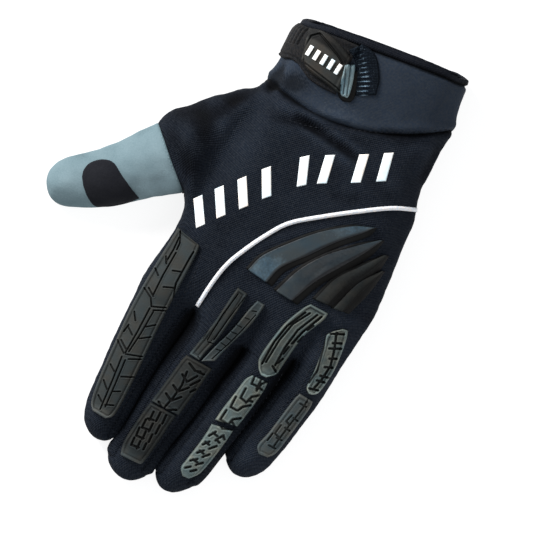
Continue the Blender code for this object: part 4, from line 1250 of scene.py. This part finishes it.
# %% Grooves of the finger strips
# from x and y to x and y
STROKES = {
    "index_armour": (
        (34.3, 16.4, 34.8, 28.1), (34.8, 28.1, 34.6, 39), (37.2, 6.5, 34.8, 11.5), (34.8, 11.5, 34.6, 14.9),
        (36.3, 9.6, 36, 15.6), (36, 15.6, 36.4, 22.4), (37.7, 20, 35.9, 23), (39.6, 27.3, 36.7, 29.6),
        (39.9, 37.8, 34.9, 40.5), (34.9, 40.5, 33.1, 43.5), (38.1, 36.7, 34.2, 39.3), (32.9, 43.9, 26.6, 41.2),
        (31.3, 45, 24.9, 42), (31.8, 24.5, 28.1, 23.2), (32.1, 33.2, 27.8, 31.4), (33.2, 44.9, 33.3, 57.2),
        (33.3, 57.2, 33.8, 68.5), (31, 45.5, 31.5, 57.2), (31.5, 57.2, 32.6, 67.4), (30.8, 53.5, 27.3, 50.6),
        (31.1, 59.8, 26.6, 56.6), (39, 49.7, 36.5, 53.2), (38.7, 57, 34.8, 59.8), (38.5, 56.4, 39, 60.2),
        (40, 65.1, 34.3, 69.2), (38.4, 64.3, 34.3, 67), (33.4, 69.2, 26, 66.6), (31.1, 70.6, 25.9, 68),
        (34.4, 71, 33.2, 83.6), (33.2, 83.6, 32.1, 97.5), (32.3, 71.7, 31.3, 83.5), (31.3, 83.5, 30.5, 95.4),
        (30.4, 79.5, 24.8, 76.8), (30.7, 87.5, 27.6, 85.8), (31, 94.6, 27.4, 93), (37.6, 76.7, 34.3, 78.9),
        (37, 84.7, 33.6, 87.8), (36, 92.1, 33.1, 94.1), (27.2, 12.3, 27.5, 16), (27.5, 16, 27.7, 23.1),
        (27.7, 23.1, 27.8, 28.9), (27.8, 28.9, 25.6, 35.7),
    ),
    "middle_armour_right": (
        (-0.2, 20.1, 1.9, 32.1), (1.9, 32.1, 2.6, 45.7), (-3.6, 20, -1.6, 32.1), (-1.6, 32.1, -0, 44.3),
        (2, 19.4, 4, 32.3), (4, 32.3, 4.8, 46), (2.9, 54.6, -1.2, 55.8), (-1.2, 55.8, -3, 53.7),
        (2, 46.3, -1.6, 45.7),
    ),
    "middle_armour_left": (
        (-2.7, 47.5, -5, 47.2), (-3.5, 43.8, -5.9, 44.1), (-4.4, 40.5, -6.9, 40.7), (-5.5, 37.1, -8, 36.8),
        (-6.3, 33.1, -8.6, 33), (-8, 28.3, -10.1, 28.1), (-9.5, 24, -11.5, 23.4), (-3.3, 52.3, -6.6, 43.5),
        (-6.6, 43.5, -9.3, 35.1), (-9.3, 35.1, -11.9, 24.9),
    ),
    "middle_armour_mid": (
        (5, 59.2, 0.9, 61.1), (0.9, 61.1, -1.3, 60.3), (5.6, 65.3, 2, 67.4), (2, 67.4, -0.9, 62.8),
        (7, 71.7, 3.7, 73.5), (3.7, 73.5, 0.1, 69.4), (8.2, 76.7, 4.5, 78.7), (4.5, 78.7, 1.2, 74.9),
        (9.5, 81.8, 5.7, 84.2), (5.7, 84.2, 0.5, 81.3), (4.2, 63.2, 3.4, 69.8), (3.4, 69.8, 4.3, 76.5),
        (4.3, 76.5, 6, 83.5), (-0.3, 60.9, -3.3, 60.7), (-0.1, 68, -2.8, 64), (-1.5, 70.8, -3, 68.7),
    ),
    "middle_armour_tip": (
        (9.4, 87, 9.3, 91.4), (6.4, 85.9, 6.4, 90.3), (3.5, 85.7, 3.3, 90), (10.9, 91.8, 10.9, 95.7),
        (7.2, 92, 7.1, 96.2), (3.9, 91.2, 3.9, 95.6), (11.9, 96.7, 11.5, 100.6), (8.4, 96.6, 8.2, 100.9),
        (5.1, 96.7, 5, 100.6), (11.8, 101.9, 11.6, 105.6), (8.6, 102, 8.4, 105.8), (5.7, 101.7, 5.6, 104.8),
        (10.4, 91.1, 7.6, 90.5), (10.8, 96.1, 7.4, 95.5), (11.2, 100.7, 7.8, 100.3), (11.2, 105.5, 7.9, 105.1),
    ),
    "ring_armour_low": (
        (-33.8, 12.6, -29.1, 20.8), (-29.1, 20.8, -27, 30.3), (-27, 30.3, -26.2, 42.1),
        (-31.8, 13.3, -27.1, 22.8), (-27.1, 22.8, -25.3, 32), (-25.3, 32, -25, 43.6),
        (-37.2, 11.8, -32.5, 22.1), (-32.5, 22.1, -30.9, 31.8), (-30.9, 31.8, -30.7, 41.5),
        (-39.3, 11.6, -34.9, 21.8), (-34.9, 21.8, -32.9, 28.9), (-32.4, 37.2, -31.3, 39.9),
        (-29.8, 42.4, -32.5, 44.1), (-32.3, 31, -31.6, 34.9), (-38.1, 17, -36.6, 20), (-36, 23.8, -35, 27),
    ),
    "ring_armour_mid": (
        (-27.7, 48.5, -32.4, 45.9), (-28.5, 55.9, -29, 52.3), (-29, 52.3, -31.3, 49.6),
        (-26.8, 63.3, -27.8, 59.7), (-27.8, 59.7, -30.7, 57.3), (-25, 68.3, -26.3, 65.6),
        (-26.3, 65.6, -29.2, 63.4), (-24.1, 76.2, -24.9, 73.1), (-24.9, 73.1, -27.9, 70.9),
        (-29, 54.3, -30.9, 54.6), (-27.3, 61.6, -29.1, 61.6), (-24.8, 74.1, -26.8, 75.4),
        (-24.7, 50.4, -25, 54.2), (-25, 54.2, -28.8, 54), (-23.6, 57.5, -23.5, 62.4),
        (-23.5, 62.4, -26.5, 63.1), (-21.3, 63.1, -21.4, 68.4), (-21.4, 68.4, -24.5, 68.5),
        (-20.3, 70.7, -19.8, 75.8), (-19.8, 75.8, -24.1, 76.2), (-28.2, 49.4, -28.1, 55.2),
    ),
    "ring_armour_tip": (
        (-19.2, 77.4, -22.8, 79.2), (-22.8, 79.2, -29.2, 76.6), (-18.7, 84.9, -20.5, 82),
        (-22.3, 85.5, -24.4, 81.8), (-24.4, 81.8, -25.7, 83.2), (-18, 89.9, -20, 87.4),
        (-21.5, 90.3, -23.9, 87.7), (-18.5, 88.3, -20.7, 88.8), (-17.4, 94.6, -19.6, 92.3),
        (-20.5, 95.2, -22.8, 92.7), (-18, 93.2, -20.3, 93.7), (-16.3, 99.3, -18.8, 97.2),
        (-19.5, 99.9, -21.8, 97.6), (-17.1, 98.3, -19.5, 98.6), (-15.7, 103.4, -17.6, 101.8),
        (-18.6, 103.7, -20.6, 102), (-19.7, 82.9, -22.1, 83.4), (-22.5, 84.9, -24.4, 85.7),
    ),
    "little_armour_low": (
        (-49, 14.8, -51.6, 21.8), (-51.6, 21.8, -53.7, 30), (-53.7, 30, -52.9, 37.9),
        (-52.9, 37.9, -51.5, 43.5), (-46.7, 16.6, -52.4, 14), (-49.8, 20, -53.3, 18.3),
        (-49.4, 23, -54.5, 20.5), (-51.6, 27.1, -54.7, 25.7), (-51.5, 31.6, -55, 30.3),
        (-51.6, 36.1, -55.6, 35.3), (-51.2, 38.8, -55, 38.1), (-49.7, 43.8, -53.9, 42.8),
        (-44.6, 17.6, -47.1, 24.2), (-47.1, 24.2, -49.1, 34.6), (-49.1, 34.6, -48.6, 41.4),
    ),
    "little_armour_tip": (
        (-51.7, 48.2, -51.3, 54.1), (-51.3, 54.1, -49.5, 63.4), (-49.5, 63.4, -47.5, 76.3),
        (-49.3, 52, -52.5, 52.2), (-49.6, 59.4, -52.1, 59.9), (-48.3, 65.3, -50.9, 65.7),
        (-47, 71.3, -49.7, 71.4), (-45.4, 76.1, -48.7, 76.1), (-48.4, 58.7, -47.4, 62.3),
        (-47.4, 62.3, -49.7, 63.3), (-46.1, 65.2, -45.4, 69.9), (-45.4, 69.9, -48.1, 70.7),
        (-44.4, 70.4, -43.8, 74.3),
    ),
}
print("grooves:", sum(len(strokes) for strokes in STROKES.values()))

# %% [markdown]
# ## Making the finger strips
# The strips stand 1.5 to 1.9 mm high. Their rims get a painted highlight, and most have a moat inside the rim, with
# painted shade in it. The four strips of the middle finger are drawn out a little, so that they touch each other as
# the real ones do.

# %% Heights and looks of the finger strips
# height, raised rim, moat inside the rim, tone (below zero is darker), groove width, painted reflection at the front
# end, slot
ARMOUR = {
    "index_armour": (1.9, 0.15, 0.45, 0.0, 0.7, 0.9, "rubber_dark"),
    "middle_armour_left": (1.5, 0.3, 0.0, 0.35, 0.5, 0.7, "rubber_dark"),
    "middle_armour_right": (1.5, 0.3, 0.4, -0.15, 0.5, 0.6, "rubber_dark"),
    "middle_armour_mid": (1.9, 0.05, 0.3, -0.35, 0.9, 0.3, "rubber_dark"),
    "middle_armour_tip": (1.9, 0.05, 0.3, -0.42, 0.9, 0.9, "rubber_dark"),
    "ring_armour_low": (1.5, 0.45, 0.3, -0.4, 0.9, 0.9, "rubber_ring"),
    "ring_armour_mid": (1.9, 0.2, 0.0, 0.0, 1.1, 0.0, "rubber_ring"),
    "ring_armour_tip": (1.9, 0.2, 0.0, 0.0, 1.1, 0.0, "rubber_ring"),
    "little_armour_low": (1.7, 0.45, 0.3, -0.3, 1.0, 0.5, "rubber_ring"),
    "little_armour_tip": (1.8, 0.25, 0.3, 0.65, 0.8, 0.3, "rubber_dark"),
}
GROOVE_DEPTH = 0.9
# extra length at the knuckle end, extra length at the fingertip end, and how wide that end is then
LONGER = {
    "middle_armour_left": (0.0, 1.4, 0.9),
    "middle_armour_right": (0.0, 1.4, 0.9),
    "middle_armour_mid": (1.7, 0.4, 1.0),
    "middle_armour_tip": (0.9, 1.3, 0.7),
}


def lengthened(rows, behind, ahead, end_width):
    """Draws out the rows at both ends of a strip, and adds one narrower row at the fingertip end."""
    rows = [np.array(row, float) for row in rows]
    for end, inner, extra in ((0, 1, behind), (-1, -2, ahead)):
        run = (rows[end] - rows[inner]).reshape(2, 2).mean(axis=0)
        rows[end] = rows[end] + np.tile(run / np.linalg.norm(run), 2) * extra * (0.4 if end else 1)
    if ahead:
        middle = np.tile(rows[-1].reshape(2, 2).mean(axis=0), 2)
        run = np.tile(run / np.linalg.norm(run), 2)
        rows.append(middle + (rows[-1] - middle) * end_width + run * ahead * 0.6)
    return rows


for name, (height, rim, moat, tone, groove, front_reflection, slot) in ARMOUR.items():
    grooves = [(*stroke, groove, -GROOVE_DEPTH) for stroke in STROKES[name]]
    rows = lengthened(PIECES[name], *LONGER.get(name, (0.0, 0.0, 1.0)))
    detail = {"rim": rim, "moat": moat, "tone": tone, "front_reflection": front_reflection}
    strip("moulded_" + name, rows, height, slot, (name,), grooves, step=0.25, **detail)

# %% [markdown]
# ## Blades behind the knuckles
# Four tapering blades fan out over the knuckles. Each is a smooth film that lies on a wider black moulding, which
# reaches out further on one side than on the other. The film of the first one is blue and shines, and the others are
# duller. A glossy finish alone would depend on the light, so part of the shine is a painted reflection in tones along
# the film, with painted shade where its edges turn down.

# %% The mouldings and their films
# painted reflection: tones of the film at even steps from the point to the wide end, and how much paler it gets across
BLADE_SHINE = {
    "blade_1": ((0.12, 0.2, 0.1, 0.0, -0.05, 0.0, 0.2, 0.2), 0.0, "blade_blue"),
    "blade_2": ((-0.25, -0.35, -0.4, -0.45, -0.5, -0.45, -0.35, -0.2), 0.15, "blade_blue"),
    "blade_3": ((-0.3, -0.4, -0.55, -0.6, -0.6, -0.55, -0.5, -0.45), 0.2, "rubber_dark"),
    "blade_4": ((0.0, -0.25, -0.45, -0.55, -0.55, -0.5, -0.45, -0.35), 0.2, "rubber_dark"),
}
# how far the moulding stands out on either side of the film, and the width of a blade from which it does so in full
MOULDING_LOW, MOULDING_HIGH, FULL_WIDTH = 2.8, 1.2, 5
for name, (tones, slant, slot) in BLADE_SHINE.items():
    blade = np.array(PIECES[name], float)
    left, right = blade[:, :2], blade[:, 2:4]
    outward = (left - right) / np.linalg.norm(left - right, axis=1, keepdims=True)
    reach = np.minimum(1, np.linalg.norm(left - right, axis=1, keepdims=True) / FULL_WIDTH)
    moulding = np.hstack([left + outward * MOULDING_LOW * reach, right - outward * MOULDING_HIGH * reach])
    strip("moulding_of_" + name, moulding, 0.3, "rubber_dark", (), crown=1.0, step=0.5, edge=1.0, tone=-0.95)

    def shine(along, across, tones=tones, slant=slant):
        """Painted reflection along the film, paler across it, and painted shade where its two edges turn down."""
        film = np.interp(along, np.linspace(0, 1, len(tones)), tones) + slant * (2 * across - 1)
        near_edge = 1.1 * np.clip(1.3 - across / (0.25 - 0.15 * along), 0, 1)
        far_edge = 0.7 * bell(1 - across, 0.06)
        return film - near_edge - far_edge

    strip("film_" + name, PIECES[name], 1.25, slot, (name,), edge=0.5, crown=0.3, shade=shine)


# %% [markdown]
# ## The wrist closing
# The strap is a stiff tongue of cloth that comes round the thumb side. It ends in a moulded tab with a pale grip bar,
# which sticks to a patch of woven loops. The strap wraps the side of the cuff, where a ray from above finds nothing,
# so it is laid out in the rows and columns of the hand instead.

# %% Rows and columns of the hand as a grid of points
FINER = 2**FINENESS
hand_faces = np.repeat([part[0] == "hand" for part in parts], 4**FINENESS)
rows_at = np.rint(place[hand_faces][:, :, 0] * FINER).astype(int).ravel()
columns_at = np.rint(place[hand_faces][:, :, 1] * FINER).astype(int).ravel() % (COLUMNS * FINER)
hand_grid = np.zeros((len(SECTIONS[1:]) * FINER + 1, COLUMNS * FINER), int)
hand_grid[rows_at, columns_at] = fine[hand_faces].ravel()
print("grid of the hand:", hand_grid.shape)


def on_cuff(row, column):
    """Places and normals of the shell at rows and columns of the hand, which may be fractions."""
    r, c = row * FINER, column * FINER
    r0, c0 = np.floor(r).astype(int), np.floor(c).astype(int)
    fr, fc = (r - r0)[:, None], (c - c0)[:, None]
    top = len(hand_grid) - 1
    near = [hand_grid[np.minimum(r0 + i, top), (c0 + j) % (COLUMNS * FINER)] for i in (0, 1) for j in (0, 1)]
    weights = [(1 - fr) * (1 - fc), (1 - fr) * fc, fr * (1 - fc), fr * fc]
    where = sum(skin[n] * w for n, w in zip(near, weights))
    facing = sum(normal[n] * w for n, w in zip(near, weights))
    return where, facing / np.linalg.norm(facing, axis=1, keepdims=True)


# %% [markdown]
# ## The strap itself
# A tongue of cloth about 18 mm wide, with a welt round its border and four ribs across it. Its points follow the rows
# and columns of the hand, so it wraps the side of the cuff without a modifier.

# %% The strap
# column, row of the edge towards the fingers, row of the edge towards the wrist
STRAP = (
    (-0.6, 6, 7.7),
    (0.6, 6, 7.7),
    (1.5, 6.1, 7.7),
    (2.4, 5.85, 7.7),
    (3.6, 5.8, 7.65),
)
# points along and across, millimetres across and along, places of the ribs as shares of the length and their width
LONG, WIDE = 150, 70
STRAP_WIDE, STRAP_LONG = 18, 40
RIBS_AT, RIB_WIDTH = (0.27, 0.325, 0.38, 0.435), 0.014
laid, _ = spline([(c, 0, u, v) for c, u, v in STRAP], LONG)
across = np.linspace(0, 1, WIDE)[None]
column = np.repeat(laid[:, 0], WIDE)
row = (laid[:, 2:3] + (laid[:, 3:4] - laid[:, 2:3]) * across).ravel()
where, facing = on_cuff(row, column)
along = np.linspace(0, 1, LONG)[:, None] * np.ones((1, WIDE))
inside = np.minimum(np.minimum(across, 1 - across) * STRAP_WIDE, np.minimum(along, 1 - along) * STRAP_LONG).ravel()
ribs = sum(bell(along - at, RIB_WIDTH) for at in RIBS_AT)
ribs = (ribs * (across > 0.42) * (across < 0.95)).ravel()
welt = 0.35 * bell(inside - 1.6, 0.5)
rounding = np.clip(inside / 0.7, 0, 1)
lift = (1.7 - 1.0 * ribs - welt) * np.sqrt(rounding * (2 - rounding)) + 0.05
top = where + facing * lift[:, None]
bottom = where - facing * 0.3
strap_points, strap_faces = closed_sheet(top, bottom, LONG, WIDE)
body = piece("strap_tongue", strap_points, strap_faces, FINISHES["strap_black"], "strap_black", ("wrist_strap",))
# painted sheen on the upper part of the strap, and painted shade in its ribs and along its welt
sheen = 0.7 * bell(along - 0.3, 0.13) * (across > 0.4)
tint(body, sheen.ravel() - 0.7 * ribs - 1.2 * welt)
print("strap:", len(body.data.polygons), "faces")

# %% [markdown]
# ## The parts of the tab
# The tab is a block of black rubber with a groove along its border. A pale bar to pull it by stands across its end, and
# its foot spreads over the patch. They are strips again, laid on the strap and the cloth.

# %% Outlines of the tab, its grip bar and the loop patch
# From here on, rays from above find the strap as well as the cloth.
upper_faces = [[k + len(skin) for k in quad] for quad in strap_faces[: (LONG - 1) * (WIDE - 1)]]
above = BVHTree.FromPolygons([tuple(p) for p in np.concatenate([skin, top])], [*fine.tolist(), *upper_faces])
TAB = (
    (24.1, -90, 27.9, -104.9),
    (18, -86.6, 19.9, -106.3),
    (9.4, -85.3, 11.3, -104.1),
    (0.1, -83.6, 3.9, -100.9),
)
GRIP = (
    (-0.2, -83.3, -3.3, -83.5),
    (1.6, -85, -3.3, -86.5),
    (3.4, -89.3, -2, -92.1),
    (4.5, -93.8, -0.4, -96.4),
    (5.2, -96.8, 0.9, -99.1),
)
LOOPS = (
    (-5.9, -86.3, -14.4, -91.1),
    (-2.5, -93.3, -12, -99.1),
    (1.3, -100.1, -5.4, -107.5),
    (6.6, -103.5, 2, -109),
)
TAB_STROKES = (
    (25.3, -94.7, 24.9, -101.5, 0.8, -0.7),
    (24.9, -101.5, 21.9, -104.3, 0.8, -0.7),
    (21.9, -104.3, 9.3, -98.6, 0.8, -0.7),
    (9.3, -98.6, 5.9, -96.4, 0.8, -0.7),
    (22, -105.2, 12, -102.9, 2.6, 0.3),
    (12, -102.9, 4.6, -99.7, 2.6, 0.3),
    (22.4, -89.1, 17, -88, 0.7, -0.6),
    (17, -88, 8.2, -86.4, 0.7, -0.6),
    (8.2, -86.4, 1.9, -85.3, 0.7, -0.6),
    (25.3, -94.7, 22.4, -89.1, 0.7, -0.5),
)


print("strokes on the tab:", len(TAB_STROKES))


# %% [markdown]
# ## The tab
# The side of the tab that faces the wrist turns away from the window, so it gets painted shade and is nearly black.
# Five small white bars of print lie across it. They are strips too, set a little higher than the rubber.

# %% The tab and its white bars
def tab_shade(along, across):
    """Painted shade on the side towards the wrist, which turns away from the light; all of it a little darker."""
    return -0.15 - 0.75 * np.clip((across - 0.66) / 0.08, 0, 1) * np.ones_like(along)


strip("moulded_tab", TAB, 2.2, "tab_rubber", ("strap_tab",), TAB_STROKES, edge=1.6, shade=tab_shade)
TAB_MARKS = (
    (23.5, -97.9, 24, -92.3),
    (19.6, -97.4, 20.1, -91.9),
    (15.7, -97, 16.1, -91.5),
    (11.8, -96.6, 12.2, -91.1),
    (7.8, -96.2, 8.3, -90.6),
)
MARK_WIDE = (-2.5, 0.2)
for number, (x0, y0, x1, y1) in enumerate(TAB_MARKS, 1):
    ends = [(x0, y0, x0 + MARK_WIDE[0], y0 + MARK_WIDE[1]), (x1, y1, x1 + MARK_WIDE[0], y1 + MARK_WIDE[1])]
    strip(f"tab_mark_{number}", ends, 2.75, "white_print", (), edge=0.3, sink=0.0)

# %% [markdown]
# ## What holds the tab
# The grip bar stands on a foot of black rubber that disappears into shade, so it is painted darkest, as painted shade
# round the bar. The bar is paler and has two fine lines along it, pressed in where fingers hold it. Both are strips,
# laid one over the other.

# %% The foot of the tab and the grip bar
TAB_FOOT_SHADE = (
    (3.9, -89.9, -1.8, -98),
    (2.5, -84.7, -4.9, -90.2),
    (0.4, -82.3, -6, -85.4),
    (-2.1, -81.5, -5.3, -82.6),
)
# the foot's darkest tone is painted shade round the grip bar
strip("tab_foot_shade", TAB_FOOT_SHADE, 1.4, "tab_rubber", (), edge=1.4, tone=-1.0)
GRIP_LINES = (
    (4.4, -96.7, -0.6, -84.4, 0.7, -0.6),
    (2.7, -98.1, -2.5, -84.5, 0.7, -0.6),
)
strip("grip_bar", GRIP, 3.0, "grip_gray", ("tab_grip",), GRIP_LINES, edge=0.9)

# %% [markdown]
# ## The loop patch
# The hooks of the tab hold on to this patch of woven loops, whose rows look pale where light reaches them. Real loops
# are far too small to model, so the rows are a pattern of stored tones: painted light on the rows, brightest beside the
# grip bar, and darker elsewhere.

# %% The loop patch
BARS = 11


def loop_rows(along, across):
    """Rows of loops with painted light, brightest beside the grip bar, and darker elsewhere."""
    bars = np.clip(np.cos(2 * math.pi * BARS * along) * 1.6 - 0.3, 0, 1)
    column = bell(across - 0.38, 0.24) * np.clip(1.4 - 1.2 * along, 0, 1)
    return 0.95 * bars * column - 0.75


strip("loop_patch_pile", LOOPS, 1.2, "loop_navy", ("loop_patch",), edge=0.9, shade=loop_rows)

# %% [markdown]
# ## The pad on the thumb
# A pad of black suede lies on the gray sleeve of the thumb. It could be a patch of another finish on the sleeve, but
# its cut edge shows, so it is a thin strip like the others. Its stitches come further down.

# %% The pad on the thumb
THUMB_PAD = (
    (61.5, 1.8, 66.8, -0.5),
    (64.9, 5.8, 73.5, -4),
    (70, 10.2, 79.7, -7.4),
    (74, 12.8, 85.2, -6.3),
    (78.5, 14.7, 89.4, -2.4),
    (83.2, 12.4, 90.5, 1.8),
    (87.2, 8.8, 89.7, 5.3),
)
strip("thumb_pad", THUMB_PAD, 0.8, "patch_black", ("thumb_patch",), edge=0.6)

# %% [markdown]
# ## White bars
# Eight plain slanted bars of white print follow the white line across the back. A bar could be a decal in the finish
# of the cloth, but print that is thick enough to feel has an edge, so each one is a strip 0.4 mm high.

# %% White bars on the back
# x and y of the middle, vector along the bar, vector across it
FLASHES = (
    (33.6, -5.6, -7.44, 11.57, 2.84, 3.62),
    (27, -14, -7.17, 11.74, 2.92, 3.55),
    (19.6, -22.6, -7.04, 11.82, 2.96, 3.52),
    (12, -31.8, -6.48, 12.14, 3.13, 3.37),
    (-0.6, -44.4, -4.94, 12.84, 3.52, 2.96),
    (-9.6, -50, -2.62, 13.51, 3.98, 2.3),
    (-23.4, -57.6, -2.54, 13.52, 3.99, 2.28),
    (-33.4, -63.6, -2.83, 13.46, 3.94, 2.37),
)


def bar(name, x, y, lx, ly, wx, wy, height, nodes):
    """A flat bar about a middle x and y, with one vector along it and one across."""
    middles = [(x + s * lx / 2, y + s * ly / 2) for s in (-1, 1)]
    ends = [(u - wx / 2, v - wy / 2, u + wx / 2, v + wy / 2) for u, v in middles]
    return strip(name, ends, height, "white_print", nodes, edge=0.35)


for number, flash in enumerate(FLASHES, 1):
    bar(f"white_bar_{number}", *flash, 0.4, (f"back_flash_{number}",))


# %% [markdown]
# ## Stitches
# Thread holds the panels together, and its short dashes are what makes cloth look sewn. Each stitch is a small
# spindle that dips into the cloth at both ends. They lie on seams, round the pad and along the strap.

# %% A line of stitches
# points along a path, how deep the ends dip into the cloth, and sides round a spindle
STEPS, DIP, AROUND = 400, -0.08, 6


def stitches(name, path, length=1.7, gap=0.8, thick=0.2, slot="fabric_black", thread="thread"):
    """Spindles along a path: length and gap in millimetres, half of the thickness, slot (not used) and thread."""
    line, total = spline(path, STEPS)
    count = int(total / (length + gap))
    vertices, faces = [], []
    starts = (np.arange(count) + 0.5) * total / count
    at = np.linspace(0, total, STEPS)
    for start in starts:
        stops = [start + part for part in (-length / 2, 0, length / 2)]
        ends = np.stack([np.interp(stops, at, line[:, c]) for c in (0, 1)], axis=1)
        heights, facing = drape(ends)
        spine = np.column_stack([ends, heights]) + facing * np.array([[DIP], [thick * 0.8], [DIP]])
        bend = 2 * spine[1] - (spine[0] + spine[2]) / 2
        ahead = spine[2] - spine[0]
        ahead /= np.linalg.norm(ahead)
        aside = np.cross(facing[1], ahead)
        first = len(vertices)
        vertices.append(spine[0])
        for share, size in ((0.25, 0.8), (0.5, 1.0), (0.75, 0.8)):
            centre = (1 - share) ** 2 * spine[0] + 2 * share * (1 - share) * bend + share**2 * spine[2]
            for k in range(AROUND):
                turn = 2 * math.pi * k / AROUND
                vertices.append(centre + (aside * math.cos(turn) + facing[1] * math.sin(turn)) * thick * size)
        vertices.append(spine[2])
        last = len(vertices) - 1
        for k in range(AROUND):
            n = (k + 1) % AROUND
            faces.append((first, first + 1 + n, first + 1 + k))
            for ring in (first + 1, first + 1 + AROUND):
                faces.append((ring + k, ring + n, ring + AROUND + n, ring + AROUND + k))
            faces.append((last, last - AROUND + k, last - AROUND + n))
    piece(name, vertices, faces, FINISHES[thread], slot)
    print(f"{name}: {count} stitches over {total:.0f} mm")


print("a stitch has", 3 * AROUND + 2, "points")

# %% [markdown]
# ## Where the thread runs
# The paths follow the seams along the fingers, round the pad of the thumb and along the strap. One seam is different:
# pale and fine, it joins the gray sleeve of the thumb to the back.

# %% The seams
SEWN = {
    "thumb_pad_edge": ((79.1, -6.7), (73.8, -2.6), (68.5, 0.4), (65.1, 1.7)),
    "thumb_pad_round": ((80.4, -7.1), (84.5, -5.8), (88.4, -2.2), (89.5, 3.8), (85.5, 8.8), (80.8, 12.1)),
    "cuff_hem": ((16.8, -62.3), (7.1, -64), (-7.5, -69.7), (-24.6, -77.4), (-39.7, -85.6), (-51.6, -93.2)),
    "strap_edge": ((33.7, -91.1), (29.3, -88.1), (23.4, -87.3), (17.3, -85.2), (8.5, -83.6), (2.6, -83.2)),
    "strap_inner": ((33.3, -92.7), (28.6, -89.8), (25.2, -88.7)),
    "index_side": (
        (23.3, 11.6), (22.4, 18.2), (22.2, 28.6), (22.8, 36.8), (22.6, 44.7), (23.2, 55.5), (23.7, 64.6),
        (22.9, 74.7), (23, 84.5), (22.9, 93.2),
    ),
    "little_side": (
        (-43, 18), (-45.4, 25.9), (-45.9, 36.2), (-46.1, 46.7), (-42.8, 57.2), (-39.8, 68.4), (-37.5, 77.5),
    ),
    "ring_side": ((-22.9, 46), (-22.5, 55.5), (-21, 65.9), (-18, 77.2), (-15.8, 89.8), (-13.1, 99.9)),
    "ring_side_right": ((-35.4, 43), (-35.4, 51.4), (-33.5, 62.9), (-31.2, 75.5), (-28.6, 85.7), (-25.7, 98.7)),
    "middle_side": ((9.1, 53.9), (10.5, 64.7), (12.4, 76.3), (13.2, 86.4), (14.5, 97.6), (15.7, 107)),
    "middle_side_right": ((-7.2, 56.4), (-4.9, 65.5), (-2.3, 75.7), (-1.1, 86.9), (0.5, 97.3), (1.8, 105)),
}
for name, path in SEWN.items():
    stitches("stitches_" + name, path)
# the pale seam that joins the sleeve of the thumb to the black cloth
THUMB_STITCHES = (
    (67.1, -30),
    (61, -24.2),
    (55.5, -19.1),
    (51.8, -15.8),
    (48.3, -12.3),
)
stitches("stitches_thumb_seam", THUMB_STITCHES, 0.8, 0.9, 0.16, "thumb_gray", "thread_pale")

# %% [markdown]
# ## The table, the light and the camera
# The photograph was taken straight down on a white table, with the fingers towards the viewer's lower left. Two
# large soft lights and a pale sky give its even light.

# %% The table
# half of its width, and how far under the glove it lies, in metres
TABLE_HALF, TABLE_DROP = 3, 0.0002
floor_mesh = bpy.data.meshes.new("table_top")
corner_signs = ((-1, -1), (1, -1), (1, 1), (-1, 1))
floor_mesh.from_pydata([(TABLE_HALF * x, TABLE_HALF * y, 0) for x, y in corner_signs], [], [(0, 1, 2, 3)])
floor = bpy.data.objects.new("table_top", floor_mesh)
white = {"Base_Color": (0.25, 0.25, 0.25, 1), "Emission_Color": (1, 1, 1, 1), "Emission_Strength": 0.85}
floor_finish, _, _ = finish("table_white", 0.9, Specular_IOR_Level=0.1, **white)
floor_mesh.materials.append(floor_finish)
bpy.context.scene.collection.objects.link(floor)
floor.location.z = -TABLE_DROP
print("table:", 2 * TABLE_HALF, "m wide")

# %% [markdown]
# ## Light
# The photograph has soft light from the upper left and hardly any shadow. A large window lamp, a weaker lamp opposite
# it and a pale sky do that. An image of a studio could light it as well, but two lamps are easier to follow.

# %% Light
world = bpy.data.worlds.new("pale_room")
bpy.context.scene.world = world
world.use_nodes = True
world.node_tree.nodes["Background"].inputs["Color"].default_value = (0.93, 0.96, 1.0, 1)
world.node_tree.nodes["Background"].inputs["Strength"].default_value = 0.5


def soft_light(name, place, size, power):
    """A square lamp that looks at the glove."""
    lamp = bpy.data.lights.new(name, "AREA")
    lamp.shape = "RECTANGLE"
    lamp.size, lamp.size_y = size, size
    lamp.energy = power
    holder = bpy.data.objects.new(name, lamp)
    holder.location = place
    holder.rotation_euler = (-Vector(place)).to_track_quat("-Z", "Y").to_euler()
    bpy.context.scene.collection.objects.link(holder)


soft_light("window", (0.85, -0.45, 0.55), 0.4, 21)
soft_light("fill", (-0.75, 0.5, 0.9), 0.9, 5)
print("lights:", len(bpy.data.lights))

# %% [markdown]
# ## Camera
# The photograph looks straight down from far away, so the camera has a long lens. That keeps the sides of the fingers
# from showing.

# %% Camera
# width of the picture at a height over the table and the middle of it, in metres, and the turn of it in degrees
VIEW_WIDTH, VIEW_HEIGHT = 0.2494, 0.010
VIEW_MIDDLE, VIEW_TURN = (-0.0280, 0.0012), 180 + 27.5
LENS, SENSOR = 260, 36
camera = bpy.data.objects.new("overhead_camera", bpy.data.cameras.new("overhead_camera"))
camera.data.lens = LENS
camera.data.sensor_width = SENSOR
camera.location = (*VIEW_MIDDLE, VIEW_HEIGHT + VIEW_WIDTH * LENS / SENSOR)
camera.rotation_euler = (0, 0, math.radians(VIEW_TURN))
bpy.context.scene.collection.objects.link(camera)
bpy.context.scene.camera = camera
bpy.context.scene.view_settings.view_transform = "Standard"
print("camera:", camera.location.z, "m up")
